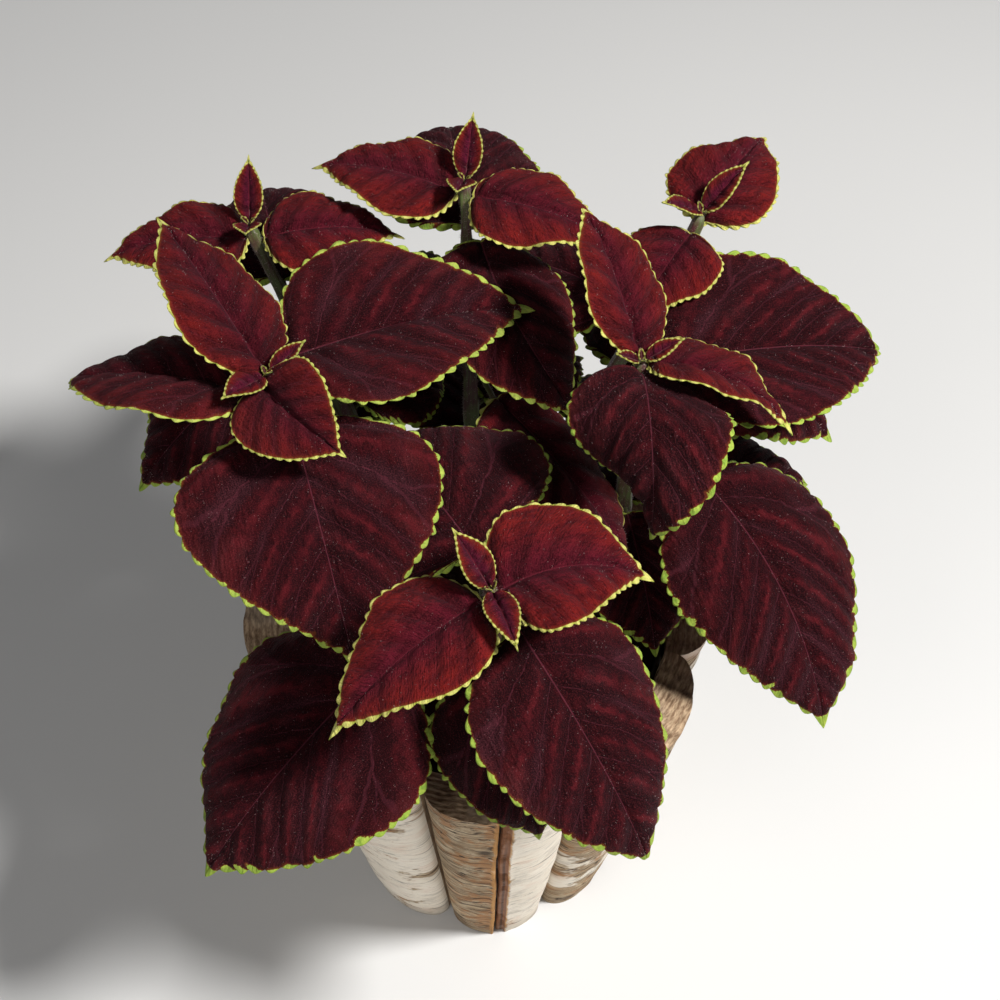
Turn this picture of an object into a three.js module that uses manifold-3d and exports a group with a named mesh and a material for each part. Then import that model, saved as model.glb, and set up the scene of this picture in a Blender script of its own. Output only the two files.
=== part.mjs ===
// A potted coleus: leafy square stems with opposite pairs of toothed leaves, rooted in a soil-filled
// tapered liner that stands inside a ring of half-round birch slabs.
// Millimetres, +Z up. The origin is the centre of the pot's underside and -Y is the front.
import * as THREE from "three";
import { mergeVertices } from "three/addons/utils/BufferGeometryUtils.js";
import Module from "manifold-3d";

const wasm = await Module();
wasm.setup();

// ---------- driving dimensions ----------

const GAP = 0.3; // clearance between touching pieces

const POT = {
  height: 205,
  footRadius: 70, // to the crown of the bark, at the ground
  rimRadius: 102, // the same at the top
  slabs: 8,
  firstSlab: -84, // heading of the front slab's middle, in degrees
  slabShare: 0.95, // of its sector that each slab fills
  slabCrown: 21, // thickness of a slab in its middle, at the rim
  slabEdge: 4, // thickness at its long edges, at the rim
  raggedTop: 5, // most that a slab's top stands above or below the pot's height
  crackWidth: 4.5,
  crackDepth: 6,
};
const LINER = { wall: 2.2, floor: 3, below: 8, segments: 36 };
const SOIL = { below: 15, bump: 2.2, rings: 4 };
const STEM = { footSide: 7.5, tipSide: 3.2, rooted: 32, upright: 12 };
const STALK = {
  rise: 15, // degrees that a leaf's stalk climbs above the pitch of its blade
  share: 0.014, // half its thickness as a share of the blade's length
  least: 0.5,
  most: 1.3,
  sunkStart: 0.9, // depth of its middle line below the blade where the blade starts
  sunkEnd: 1.3, // and where it fades out
  reach: 0.16, // share of the midrib that it runs under
};
const BLADE = {
  thick: 0.8,
  steps: 32, // equal steps along a midrib
  toothPitch: 8,
  toothDepth: 1.5,
  shallow: 0.045, // least tooth depth on a small leaf, as a share of its width
  rowPitch: 13, // spacing of the corners along the midrib
  bend: 0.55, // where each half has a line of corners between midrib and margin
  plain: 30, // leaves shorter than this have no such line
  sweep: 0.2, // how far the side veins carry a point towards the tip
};
const OUTLINE = { broad: [0.36, 0.95], pointed: [0.4, 1.4], taper: 0.4 }; // powers of the two ends
const RIPPLE = { turns: 2.2, shift: 0.13, apart: 0.3 };

const soilTop = POT.height - SOIL.below;

// ---------- small helpers ----------

const rad = THREE.MathUtils.degToRad;
const lerp = THREE.MathUtils.lerp;
const vec = (x, y, z) => new THREE.Vector3(x, y, z);

// A horizontal direction from its heading: 0 is +X and 90 is +Y, away from the front.
const towards = (heading) => vec(Math.cos(rad(heading)), Math.sin(rad(heading)), 0);

// A direction from its heading and its pitch above the horizontal.
function aim(heading, pitch) {
  return towards(heading).multiplyScalar(Math.cos(rad(pitch))).setZ(Math.sin(rad(pitch)));
}

// A repeatable random number from 0 to 1 for each seed.
function chance(seed) {
  const wave = Math.sin(seed * 12.9898 + 4.1414) * 43758.5453;
  return wave - Math.floor(wave);
}

function geometryOf(points, triangles) {
  const flat = points.flatMap((p) => [p.x, p.y, p.z]);
  const geometry = new THREE.BufferGeometry();
  geometry.setAttribute("position", new THREE.Float32BufferAttribute(flat, 3));
  return geometry.setIndex(triangles);
}

// A closed body through rings of equal count, each running anticlockwise seen from the far end.
function loft(rings) {
  const count = rings[0].length;
  const triangles = [];
  for (let k = 0; k + 1 < rings.length; k++) {
    for (let i = 0; i < count; i++) {
      const a = k * count + i;
      const b = k * count + ((i + 1) % count);
      triangles.push(a, b, b + count, a, b + count, a + count);
    }
  }
  const last = (rings.length - 1) * count;
  for (const face of THREE.ShapeUtils.triangulateShape(flatten(rings[0]), [])) {
    triangles.push(face[2], face[1], face[0]);
    triangles.push(last + face[0], last + face[1], last + face[2]);
  }
  return geometryOf(rings.flat(), triangles);
}

// A ring of points laid out in the plane of its first corner, for splitting an end face.
function flatten(ring) {
  const [o, a] = ring;
  const across = a.clone().sub(o).normalize();
  const normal = vec(0, 0, 0);
  ring.forEach((p, i) => normal.add(p.clone().cross(ring[(i + 1) % ring.length])));
  const up = normal.normalize().cross(across);
  return ring.map((p) => p.clone().sub(o)).map((d) => new THREE.Vector2(d.dot(across), d.dot(up)));
}

// A square rod along points, with a half side for each point and one corner turned up.
function squareRod(points, halves) {
  let side = vec(0, 1, 0).cross(points[1].clone().sub(points[0])).normalize();
  if (side.lengthSq() < 0.5) side = vec(1, 0, 0);
  return loft(
    points.map((p, i) => {
      const before = points[Math.max(i - 1, 0)];
      const along = points[Math.min(i + 1, points.length - 1)].clone().sub(before).normalize();
      side.addScaledVector(along, -side.dot(along)).normalize();
      const up = along.clone().cross(side);
      return [45, 135, 225, 315].map((turn) =>
        p
          .clone()
          .addScaledVector(side, Math.cos(rad(turn)) * halves[i] * Math.SQRT2)
          .addScaledVector(up, Math.sin(rad(turn)) * halves[i] * Math.SQRT2),
      );
    }),
  );
}

// ---------- solids, for the joins and cuts ----------

function solidOf(geometry) {
  const bare = geometry.clone();
  bare.deleteAttribute("normal");
  bare.deleteAttribute("uv");
  const merged = mergeVertices(bare, 1e-4);
  return new wasm.Manifold(
    new wasm.Mesh({
      numProp: 3,
      vertProperties: new Float32Array(merged.attributes.position.array),
      triVerts: new Uint32Array(merged.index.array),
    }),
  );
}

function geometryFrom(solid) {
  const mesh = solid.getMesh();
  const geometry = new THREE.BufferGeometry();
  geometry.setAttribute("position", new THREE.BufferAttribute(mesh.vertProperties, 3));
  return geometry.setIndex(new THREE.BufferAttribute(mesh.triVerts, 1));
}

// ---------- one leaf ----------
//
// A leaf is given by where it starts and by these values, with angles in degrees:
//   to, pitch   heading and pitch of its midrib where the blade starts
//   long, wide  length along the midrib and full width
//   droop       how far the midrib bends down over its length, and curl: further, near the tip
//   turn        how far it bends sideways, and roll: how far its right half is lifted
//   twist       how much further its right half is lifted by the tip
//   fold, cup   how far both halves rise at the midrib, and how far they then arch over
//   wave        height of the ripple in its margin
//   narrow      0 for a broad adult outline to 1 for a tip drawn out to a point
//   taper       0 for a round base to 1 for one that narrows into the stalk

const LEAF = {
  pitch: 0,
  droop: 35,
  curl: 10,
  turn: 0,
  roll: 0,
  twist: 0,
  fold: 12,
  cup: 45,
  wave: 1.5,
  narrow: 0,
  taper: 0,
  petiole: 8,
};
const YOUNG = { droop: 41, petiole: 2, narrow: 0.6, fold: 18 };
const BUD = { droop: 10, curl: 0, petiole: 0, narrow: 0.6, taper: 0.5, fold: 25, cup: 20, wave: 0 };

// Half the width at u, from 0 at the base to 1 at the tip.
function halfWidth(leaf, u) {
  const rise = lerp(OUTLINE.broad[0], OUTLINE.pointed[0], leaf.narrow) + OUTLINE.taper * leaf.taper;
  const fall = lerp(OUTLINE.broad[1], OUTLINE.pointed[1], leaf.narrow);
  const peak = rise / (rise + fall);
  const most = peak ** rise * (1 - peak) ** fall;
  return ((leaf.wide / 2) * u ** rise * (1 - u) ** fall) / most;
}

// How far the side veins carry a point towards the tip, as a share of the length.
const sweep = (u) => BLADE.sweep * (1 - u) * Math.sqrt(u);

// The midrib as points and frames at equal steps, from the blade's start.
function midrib(leaf, start) {
  const stations = [];
  const here = start.clone();
  for (let i = 0; i <= BLADE.steps; i++) {
    const a = i / BLADE.steps;
    const heading = leaf.to + leaf.turn * a;
    const pitch = leaf.pitch - leaf.droop * a - leaf.curl * a ** 4;
    const along = aim(heading, pitch);
    const level = vec(Math.sin(rad(heading)), -Math.cos(rad(heading)), 0);
    const upright = level.clone().cross(along);
    const roll = rad(leaf.roll + leaf.twist * a);
    stations.push({
      at: here.clone(),
      side: level.clone().multiplyScalar(Math.cos(roll)).addScaledVector(upright, Math.sin(roll)),
      up: upright.clone().multiplyScalar(Math.cos(roll)).addScaledVector(level, -Math.sin(roll)),
    });
    here.addScaledVector(along, leaf.long / BLADE.steps);
  }
  return stations;
}

// The midrib's point and frame at any share of its length.
function stationAt(stations, a) {
  const place = THREE.MathUtils.clamp(a, 0, 1) * BLADE.steps;
  const i = Math.min(Math.floor(place), BLADE.steps - 1);
  const mix = (key) => stations[i][key].clone().lerp(stations[i + 1][key], place - i);
  return { at: mix("at"), side: mix("side").normalize(), up: mix("up").normalize() };
}

// The point of the blade at u along and v across, from -1 to 1, with the way its upper face looks.
// tooth lengthens the half width there.
function bladePoint(leaf, stations, u, v, tooth = 0) {
  const across = Math.abs(v);
  const { at, side, up } = stationAt(stations, u + sweep(u) * across ** 1.3);
  const out = across * (halfWidth(leaf, u) + tooth);
  const lean = rad(leaf.fold - (leaf.cup * across) / 2);
  const turns = RIPPLE.turns * u + RIPPLE.shift * leaf.to + RIPPLE.apart * Math.sign(v);
  const ripple = leaf.wave * across ** 2 * Math.sin(2 * Math.PI * turns) * Math.sin(Math.PI * u);
  const point = at
    .addScaledVector(side, Math.sign(v) * out * Math.cos(lean))
    .addScaledVector(up, out * Math.sin(lean) + ripple);
  const tilt = rad(leaf.fold - leaf.cup * across);
  const face = up.multiplyScalar(Math.cos(tilt));
  face.addScaledVector(side, -Math.sign(v) * Math.sin(tilt));
  return { u, point, face };
}

// Values of u that part the margin into equal lengths.
function marginSteps(leaf, count) {
  const fine = 240;
  const us = Array.from({ length: fine + 1 }, (_, i) => (i / fine) ** 2);
  const xy = us.map((u) => [leaf.long * (u + sweep(u)), halfWidth(leaf, u)]);
  const run = [0];
  for (let i = 1; i <= fine; i++) {
    run.push(run[i - 1] + Math.hypot(xy[i][0] - xy[i - 1][0], xy[i][1] - xy[i - 1][1]));
  }
  let i = 0;
  return Array.from({ length: count + 1 }, (_, k) => {
    const want = (run[fine] * k) / count;
    while (i < fine - 1 && run[i + 1] < want) i++;
    return lerp(us[i], us[i + 1], (want - run[i]) / (run[i + 1] - run[i]));
  });
}

// Triangles between two lines of points that share their ends, going by their u.
function zip(outer, inner, flip) {
  const triangles = [];
  let i = 0;
  let j = 0;
  while (i < outer.length - 1 || j < inner.length - 1) {
    const innerDone = j === inner.length - 1;
    const stepOuter = innerDone || (i < outer.length - 1 && outer[i + 1].u <= inner[j + 1].u);
    const third = stepOuter ? outer[i + 1] : inner[j + 1];
    const face = [outer[i].id, third.id, inner[j].id];
    if (new Set(face).size === 3) triangles.push(flip ? face : face.toReversed());
    if (stepOuter) i++;
    else j++;
  }
  return triangles;
}

// A blade of real thickness, cut round its edge into teeth.
function blade(leaf, stations) {
  const teeth = Math.max(3, Math.round(leaf.long / BLADE.toothPitch));
  const depth = Math.min(BLADE.toothDepth, leaf.wide * BLADE.shallow);
  const rows = Math.max(2, Math.round(leaf.long / BLADE.rowPitch));
  const points = [];
  const add = (made) => points.push(made) && { ...made, id: points.length - 1 };
  const base = add(bladePoint(leaf, stations, 0, 0));
  const tip = add(bladePoint(leaf, stations, 1, 0));
  const line = (us, v, tooth = () => 0) => [
    base,
    ...us.slice(1, -1).map((u, i) => add(bladePoint(leaf, stations, u, v, tooth(i)))),
    tip,
  ];
  const even = Array.from({ length: rows + 1 }, (_, k) => k / rows);
  const rib = line(even, 0);
  const edge = marginSteps(leaf, 2 * teeth);
  const top = [];
  const margins = [1, -1].map((side) => {
    const margin = line(edge, side, (i) => (i % 2 ? 0 : depth));
    if (leaf.long < BLADE.plain) {
      top.push(...zip(margin, rib, side > 0));
      return margin;
    }
    const middle = line(even, BLADE.bend * side);
    top.push(...zip(margin, middle, side > 0), ...zip(middle, rib, side > 0));
    return margin;
  });
  const count = points.length;
  const under = points.map(({ point, face }) => point.clone().addScaledVector(face, -BLADE.thick));
  const loop = [...margins[0], ...margins[1].slice(1, -1).reverse()].map(({ id }) => id);
  const wall = loop.flatMap((a, i) => {
    const b = loop[(i + 1) % loop.length];
    return [b, a, a + count, b, a + count, b + count];
  });
  const bottom = top.map(([a, b, c]) => [c + count, b + count, a + count]);
  const faces = [...top.flat(), ...bottom.flat(), ...wall];
  return geometryOf([...points.map(({ point }) => point), ...under], faces);
}

// ---------- one leafy shoot ----------

// The stem's middle line, from its foot in the soil to its growing tip.
function stemLine(shoot) {
  const [x, y] = shoot.foot;
  const [tipX, tipY, tipZ] = shoot.tip;
  const foot = vec(x, y, soilTop + STEM.upright);
  return new THREE.CubicBezierCurve3(
    foot,
    vec(x, y, lerp(foot.z, tipZ, 0.45)),
    vec(lerp(x, tipX, 0.75), lerp(y, tipY, 0.75), lerp(foot.z, tipZ, 0.7)),
    vec(tipX, tipY, tipZ),
  );
}

// The share of the stem's curve at height z.
function stemShare(curve, z) {
  let low = 0;
  let high = 1;
  for (let i = 0; i < 20; i++) {
    const middle = (low + high) / 2;
    if (curve.getPoint(middle).z < z) low = middle;
    else high = middle;
  }
  return high;
}

const stemHalf = (t) => lerp(STEM.footSide, STEM.tipSide, t) / 2;

function stemSolid(shoot, curve) {
  const [x, y] = shoot.foot;
  const shares = [0, 0.2, 0.4, 0.6, 0.8, 1];
  const points = [vec(x, y, soilTop - STEM.rooted), ...shares.map((t) => curve.getPoint(t))];
  return solidOf(squareRod(points, [stemHalf(0), ...shares.map(stemHalf)]));
}

// A leaf's stalk, from inside the stem to inside the midrib.
function petiole(leaf, from, half, stations) {
  const sunk = stationAt(stations, STALK.reach);
  const end = sunk.at.addScaledVector(sunk.up, -STALK.sunkEnd);
  const start = stations[0].at.clone().addScaledVector(stations[0].up, -STALK.sunkStart);
  const thin = THREE.MathUtils.clamp(leaf.long * STALK.share, STALK.least, STALK.most);
  const halves = [Math.min(half * 0.8, thin * 1.3), thin, thin * 0.6];
  return solidOf(squareRod([from, start, end], halves));
}

function placeLeaf(shoot, curve, given) {
  const leaf = { ...LEAF, ...given };
  const share = stemShare(curve, leaf.z);
  const from = curve.getPoint(Math.min(share, 0.985));
  const stalk = aim(leaf.stalkTo ?? leaf.to, leaf.pitch + STALK.rise);
  const start = from.clone().addScaledVector(stalk, stemHalf(share) + leaf.petiole);
  return { leaf, from, half: stemHalf(share), stations: midrib(leaf, start) };
}

function shootSolid(shoot) {
  const curve = stemLine(shoot);
  const solids = [stemSolid(shoot, curve)];
  for (const given of shoot.leaves) {
    const { leaf, from, half, stations } = placeLeaf(shoot, curve, given);
    solids.push(petiole(leaf, from, half, stations), solidOf(blade(leaf, stations)));
  }
  return wasm.Manifold.union(solids);
}

const SHOOTS = [
  {
    name: "shoot_front",
    foot: [2, -42],
    tip: [5, -74, 336],
    leaves: [
      { z: 334, to: 136, long: 25, wide: 13, ...BUD, pitch: 52 },
      { z: 334, to: -72, long: 28, wide: 12, ...BUD, pitch: 28, droop: 30 },
      {
        z: 328, to: 26, long: 56, wide: 52, pitch: 20, droop: 46,
        petiole: 1, narrow: 0.6, fold: 22, cup: 30, turn: -36,
      },
      {
        z: 328, to: -144, long: 70, wide: 47, pitch: 6, droop: 44,
        petiole: 2, narrow: 0.9, fold: 14, cup: 30, turn: 6, roll: -6,
      },
      {
        z: 306, to: -53, stalkTo: -25, long: 101, wide: 72,
        pitch: -22, droop: 28, petiole: 9, narrow: 0.1,
      },
      { z: 284, to: 124, stalkTo: 100, long: 80, wide: 98, pitch: 9, droop: 38, petiole: 26, fold: 6, roll: 10 },
      { z: 262, to: -135, stalkTo: -164, long: 106, wide: 91, pitch: -8, droop: 30, petiole: 36 },
      { z: 262, to: -67, stalkTo: -90, long: 74, wide: 60, pitch: -20, droop: 45, petiole: 8 },
      { z: 236, to: -158, long: 62, wide: 52, pitch: -8, petiole: 8 },
      { z: 236, to: -18, long: 60, wide: 50, pitch: -8, petiole: 8 },
    ],
  },
  {
    name: "shoot_left",
    foot: [-45, 9],
    tip: [-77, 12, 346],
    leaves: [
      { z: 344, to: -132, long: 21, wide: 13, ...BUD, pitch: 22 },
      { z: 344, to: 40, long: 18, wide: 8, ...BUD, pitch: 25 },
      {
        z: 338, to: 127, long: 76, wide: 44, pitch: 33, droop: 25,
        petiole: 1, narrow: 0.4, taper: 0.4, fold: 22, roll: -24,
      },
      {
        z: 341, to: -62, stalkTo: -150, long: 43, wide: 39,
        pitch: 10, droop: 42, petiole: 2, narrow: 0.4, fold: 34, turn: 46, roll: -28,
      },
      {
        z: 322, to: 22, stalkTo: 95, long: 100, wide: 73, pitch: 4,
        droop: 20, petiole: 21, turn: -3, fold: 25, cup: 26, roll: -8, narrow: 0.6,
      },
      { z: 326, to: 168, long: 80, wide: 54, pitch: 12, droop: 40, petiole: 10, fold: 24, roll: -18 },
      {
        z: 320, to: -73, long: 96, wide: 100, pitch: -10, droop: 38,
        petiole: 0, cup: 30, narrow: 0.8, roll: 5,
      },
      { z: 256, to: 158, long: 74, wide: 62, pitch: -4, petiole: 12 },
    ],
  },
  {
    name: "shoot_right",
    foot: [60, 31],
    tip: [60, 18, 346],
    leaves: [
      { z: 344, to: 16, long: 17, wide: 8, ...BUD, pitch: 34 },
      { z: 344, to: 190, long: 12, wide: 6, ...BUD, pitch: 40 },
      {
        z: 338, to: 104, long: 65, wide: 36, pitch: 38, droop: 22,
        petiole: 1, narrow: 0.4, taper: 0.6, fold: 28, roll: -24, turn: 15,
      },
      {
        z: 341, to: -4, long: 60, wide: 35, pitch: 10, droop: 48,
        petiole: 1, narrow: 0.9, fold: 34, roll: 22, turn: -32,
      },
      {
        z: 339, to: -88, long: 78, wide: 60, pitch: 40, droop: 125,
        petiole: 0, fold: 0, cup: 40, roll: 22, twist: -85,
      },
      {
        z: 308, to: 12, stalkTo: 62, long: 96, wide: 80, pitch: 4,
        droop: 24, petiole: 21, fold: 26, cup: 26, roll: -10,
      },
      {
        z: 275, to: -48, stalkTo: -22, long: 112, wide: 78,
        pitch: -10, droop: 34, petiole: 27, turn: -26, cup: 50,
      },
      { z: 240, to: -78, long: 60, wide: 54, pitch: -8, petiole: 4 },
      { z: 230, to: 78, long: 54, wide: 40, petiole: 2 },
      { z: 256, to: 12, long: 74, wide: 62, pitch: -4, petiole: 12 },
    ],
  },
  {
    name: "shoot_back",
    foot: [-4, 56],
    tip: [-6, 112, 346],
    leaves: [
      { z: 344, to: 80, long: 26, wide: 12, ...BUD, pitch: 48 },
      { z: 344, to: 262, long: 24, wide: 12, ...BUD, pitch: 40 },
      { z: 338, to: -18, long: 60, wide: 44, ...YOUNG, pitch: 14 },
      { z: 338, to: 164, long: 62, wide: 44, ...YOUNG, pitch: 20 },
      {
        z: 322, to: -76, stalkTo: -10, long: 84, wide: 60, pitch: -6,
        droop: 22, petiole: 4, curl: 20, roll: 10, turn: 32,
      },
      { z: 318, to: 96, long: 90, wide: 70, pitch: 10, droop: 48, petiole: 8 },
      {
        z: 279, to: -43, stalkTo: -66, long: 90, wide: 60, pitch: -8,
        droop: 28, petiole: 26, curl: 20, fold: 8, roll: 23,
      },
      { z: 286, to: 150, long: 92, wide: 74, pitch: 0, droop: 45, petiole: 12 },
      { z: 256, to: 40, long: 60, wide: 46, droop: 30, petiole: 4 },
      { z: 238, to: 95, long: 70, wide: 64, pitch: -2, petiole: 4 },
    ],
  },
  {
    name: "shoot_back_left",
    foot: [-44, 46],
    tip: [-92, 96, 338],
    leaves: [
      { z: 336, to: 90, long: 26, wide: 12, ...BUD, pitch: 46 },
      { z: 336, to: 275, long: 22, wide: 11, ...BUD, pitch: 42 },
      { z: 330, to: 8, long: 56, wide: 42, ...YOUNG, pitch: 14 },
      { z: 330, to: 186, long: 58, wide: 42, ...YOUNG, pitch: 16 },
      { z: 306, to: 104, long: 84, wide: 66, pitch: 8, droop: 48, petiole: 8 },
      { z: 292, to: -140, long: 82, wide: 66, pitch: 0, droop: 40, petiole: 10 },
      { z: 268, to: 170, long: 86, wide: 70, pitch: -4, droop: 42, petiole: 12 },
      { z: 262, to: 44, long: 50, wide: 46, droop: 30, petiole: 4 },
      { z: 252, to: 94, long: 48, wide: 44, petiole: 3 },
      { z: 232, to: 160, long: 62, wide: 54, pitch: -4, petiole: 10 },
    ],
  },
  {
    name: "shoot_back_right",
    foot: [34, 50],
    tip: [88, 96, 344],
    leaves: [
      { z: 342, to: 30, long: 26, wide: 12, ...BUD, pitch: 48 },
      { z: 342, to: 208, long: 24, wide: 12, ...BUD, pitch: 44 },
      { z: 336, to: -122, long: 46, wide: 40, ...YOUNG, pitch: 6 },
      { z: 336, to: 58, long: 60, wide: 44, ...YOUNG, pitch: 20 },
      { z: 300, to: -26, long: 84, wide: 66, pitch: -2, droop: 40, petiole: 8 },
      { z: 300, to: 140, long: 84, wide: 66, pitch: 4, droop: 48, petiole: 8 },
      { z: 268, to: 50, long: 88, wide: 70, pitch: -4, droop: 42, petiole: 12 },
      { z: 240, to: 56, long: 66, wide: 56, pitch: -6, petiole: 10 },
    ],
  },
];

// ---------- the pot ----------

// Radius of the bark's crown and of the liner's outer face at height z.
const barkRadius = (z) => lerp(POT.footRadius, POT.rimRadius, z / POT.height);
const barkScale = (z) => barkRadius(z) / POT.rimRadius;
const linerRadius = (z) => barkRadius(z) - POT.slabCrown * barkScale(z) - GAP;

// One half-round slab, standing on the ground with its flat back to the liner.
function slab(index) {
  const middle = POT.firstSlab + (360 / POT.slabs) * index;
  const half = (180 / POT.slabs) * POT.slabShare;
  const top = POT.height + POT.raggedTop * (2 * chance(index + 5) - 1) * (index ? 1 : 0.4);
  const barkSteps = 8;
  const backSteps = 4;
  const ring = (z, tilt) => {
    const scale = barkScale(z);
    const inner = linerRadius(z) + 2 * GAP; // clear of the flats between its own corners
    const place = (turn, radius) => {
      const p = towards(middle + turn).multiplyScalar(radius);
      return p.setZ(z + tilt * turn);
    };
    const bark = Array.from({ length: barkSteps + 1 }, (_, i) => {
      const across = (2 * i) / barkSteps - 1;
      const bulge = Math.sqrt(1 - across ** 2 * 0.999);
      return place(half * across, inner + scale * lerp(POT.slabEdge, POT.slabCrown, bulge));
    });
    const back = Array.from({ length: backSteps + 1 }, (_, i) => {
      return place(half * (1 - (2 * i) / backSteps), inner);
    });
    return [...bark, ...back];
  };
  const tilt = 0.12 * (chance(index + 40) - 0.5);
  return loft([ring(0, 0), ring(POT.height * 0.33, 0), ring(POT.height * 0.66, 0), ring(top, tilt)]);
}

// The split that runs down the front slab's bark, as a wedge to cut away.
function crack() {
  const out = towards(POT.firstSlab);
  const across = towards(POT.firstSlab + 90);
  const wedge = (z, width) => {
    const face = barkRadius(z);
    const at = (side, radius) => {
      return out.clone().multiplyScalar(radius).addScaledVector(across, side).setZ(z);
    };
    const root = at(0, face - POT.crackDepth * barkScale(z));
    return [at(-width, face + 3), at(width, face + 3), root];
  };
  const low = wedge(-5, POT.crackWidth * 0.5);
  const middle = wedge(POT.height * 0.5, POT.crackWidth * 0.8);
  const high = wedge(POT.height + 12, POT.crackWidth);
  return solidOf(loft([low, middle, high]));
}

function linerSolid() {
  const rim = POT.height - LINER.below;
  const outer = (z) => linerRadius(z);
  const inner = (z) => linerRadius(z) - LINER.wall;
  const profile = [
    [0, 0],
    [outer(0), 0],
    [outer(rim), rim],
    [inner(rim), rim],
    [inner(LINER.floor), LINER.floor],
    [0, LINER.floor],
  ];
  return solidOf(lathe(profile, LINER.segments));
}

// A body turned about the Z axis from a profile of [radius, height] points that starts and ends on it.
function lathe(profile, segments) {
  const turned = new THREE.LatheGeometry(profile.map(([r, z]) => new THREE.Vector2(r, z)), segments);
  return turned.rotateX(Math.PI / 2);
}

function soilSolid() {
  const foot = LINER.floor + GAP;
  const edge = (z) => linerRadius(z) - LINER.wall - GAP;
  const levels = Array.from({ length: SOIL.rings }, (_, i) => 1 - i / SOIL.rings);
  const top = levels.map((r) => [edge(soilTop) * r, soilTop]);
  const profile = [[0, foot], [edge(foot), foot], ...top, [0, soilTop]];
  const geometry = lathe(profile, LINER.segments);
  const place = geometry.attributes.position;
  for (let i = 0; i < place.count; i++) {
    const [x, y, z] = [place.getX(i), place.getY(i), place.getZ(i)];
    if (z < soilTop - 1 || Math.hypot(x, y) > edge(soilTop) - 1) continue;
    place.setZ(i, z + SOIL.bump * Math.sin(x * 0.13 + 1) * Math.cos(y * 0.16));
  }
  let soil = solidOf(geometry);
  for (const { foot: [x, y] } of SHOOTS) {
    const ends = [soilTop - STEM.rooted - GAP, soilTop + 20].map((z) => vec(x, y, z));
    const half = stemHalf(0) + GAP;
    soil = soil.subtract(solidOf(squareRod(ends, [half, half])));
  }
  return soil;
}

// ---------- the object ----------

const finish = (color, roughness) => new THREE.MeshStandardMaterial({ color, roughness, metalness: 0 });
const FINISHES = {
  leaf: finish(0x5a1420, 0.55),
  bark: finish(0xcfc3ae, 0.85),
  liner: finish(0x2b2620, 0.6),
  soil: finish(0x2a1d14, 0.95),
};

const coleus = new THREE.Group();

function addNode(name, geometry, material) {
  const mesh = new THREE.Mesh(geometry, material);
  mesh.name = name;
  coleus.add(mesh);
}

addNode("liner", geometryFrom(linerSolid()), FINISHES.liner);
addNode("soil", geometryFrom(soilSolid()), FINISHES.soil);
for (let i = 0; i < POT.slabs; i++) {
  const shape = i === 0 ? geometryFrom(solidOf(slab(i)).subtract(crack())) : slab(i);
  addNode(`birch_slab_${i + 1}`, shape, FINISHES.bark);
}
for (const shoot of SHOOTS) addNode(shoot.name, geometryFrom(shootSolid(shoot)), FINISHES.leaf);

export default coleus;
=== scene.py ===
import itertools
import math
from types import SimpleNamespace as Named

import bpy
import numpy as np
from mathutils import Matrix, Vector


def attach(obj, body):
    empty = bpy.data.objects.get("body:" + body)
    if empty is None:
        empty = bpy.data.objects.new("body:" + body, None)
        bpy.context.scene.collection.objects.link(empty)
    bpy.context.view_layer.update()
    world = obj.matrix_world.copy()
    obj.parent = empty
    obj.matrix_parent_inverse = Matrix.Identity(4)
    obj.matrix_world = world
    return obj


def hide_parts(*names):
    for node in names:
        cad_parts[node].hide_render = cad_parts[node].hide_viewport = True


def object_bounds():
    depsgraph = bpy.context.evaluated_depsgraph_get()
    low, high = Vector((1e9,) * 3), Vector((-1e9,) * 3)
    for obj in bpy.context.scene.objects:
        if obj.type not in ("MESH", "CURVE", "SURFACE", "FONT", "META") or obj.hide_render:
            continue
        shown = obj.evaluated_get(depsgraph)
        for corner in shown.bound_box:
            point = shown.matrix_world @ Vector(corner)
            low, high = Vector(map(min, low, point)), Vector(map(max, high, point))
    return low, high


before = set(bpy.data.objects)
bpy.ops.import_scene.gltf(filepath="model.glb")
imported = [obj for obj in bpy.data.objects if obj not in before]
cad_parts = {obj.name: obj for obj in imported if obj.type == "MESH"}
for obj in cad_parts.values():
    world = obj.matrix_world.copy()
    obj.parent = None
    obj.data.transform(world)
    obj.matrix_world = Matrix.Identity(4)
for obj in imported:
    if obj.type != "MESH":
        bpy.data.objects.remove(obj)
cad_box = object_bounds()

MM = 0.001

# ---------- the CAD's sizes, in millimetres and degrees ----------

POT = Named(height=205, foot=70, rim=102, slabs=8, first=-84, share=0.95, crown=21, edge=4, ragged=5)
LINER = Named(wall=2.2, below=8)
SOIL = Named(below=15, bump=2.2)
STEM = Named(foot=7.5, tip=3.2, upright=12)
STALK = Named(rise=15, share=0.014, least=0.5, most=1.3)
GAP = 0.3
STEPS = 32
SWEEP = Named(most=0.2, bend=1.3)
OUTLINE = Named(rise=(0.36, 0.4), fall=(0.95, 1.4), taper=0.4)
RIPPLE = Named(turns=2.2, by_heading=0.13, by_side=0.3)

# ---------- finer sizes, of this script alone ----------

CRACK = Named(strip=2.2, slit=3.4)  # depths of the long split's two grooves
TOOTH = Named(bud=1.9, adult=6.4, depth=0.27, steps=6, uneven=0.2, lean=1.45)
HAIR = Named(thick=0.05, stem=1.1, leaf=0.75, on_stem=1.6, on_leaf=0.05)
DRIP = 4.6  # how far a leaf's tip bends down at most
SMALL_LEAF = 32  # a shorter leaf has fewer points and lower teeth
SEED_STEP = 97  # how far apart the leaves' seeds lie in the materials' noise
BROWN = (0.46, 0.56, 0.36, 0.30, 0.44, 0.20, 0.40, 0.33)  # weathered share of each slab's bark
SLAB_ROWS = 110
LINER_SEGMENTS = 128
SOIL_RINGS, SOIL_SEGMENTS = 52, 160
CRUMBS = 1100
BOX = np.array(cad_box) / MM  # no fine point may leave the CAD's own box
SOIL_TOP = POT.height - SOIL.below


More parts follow.
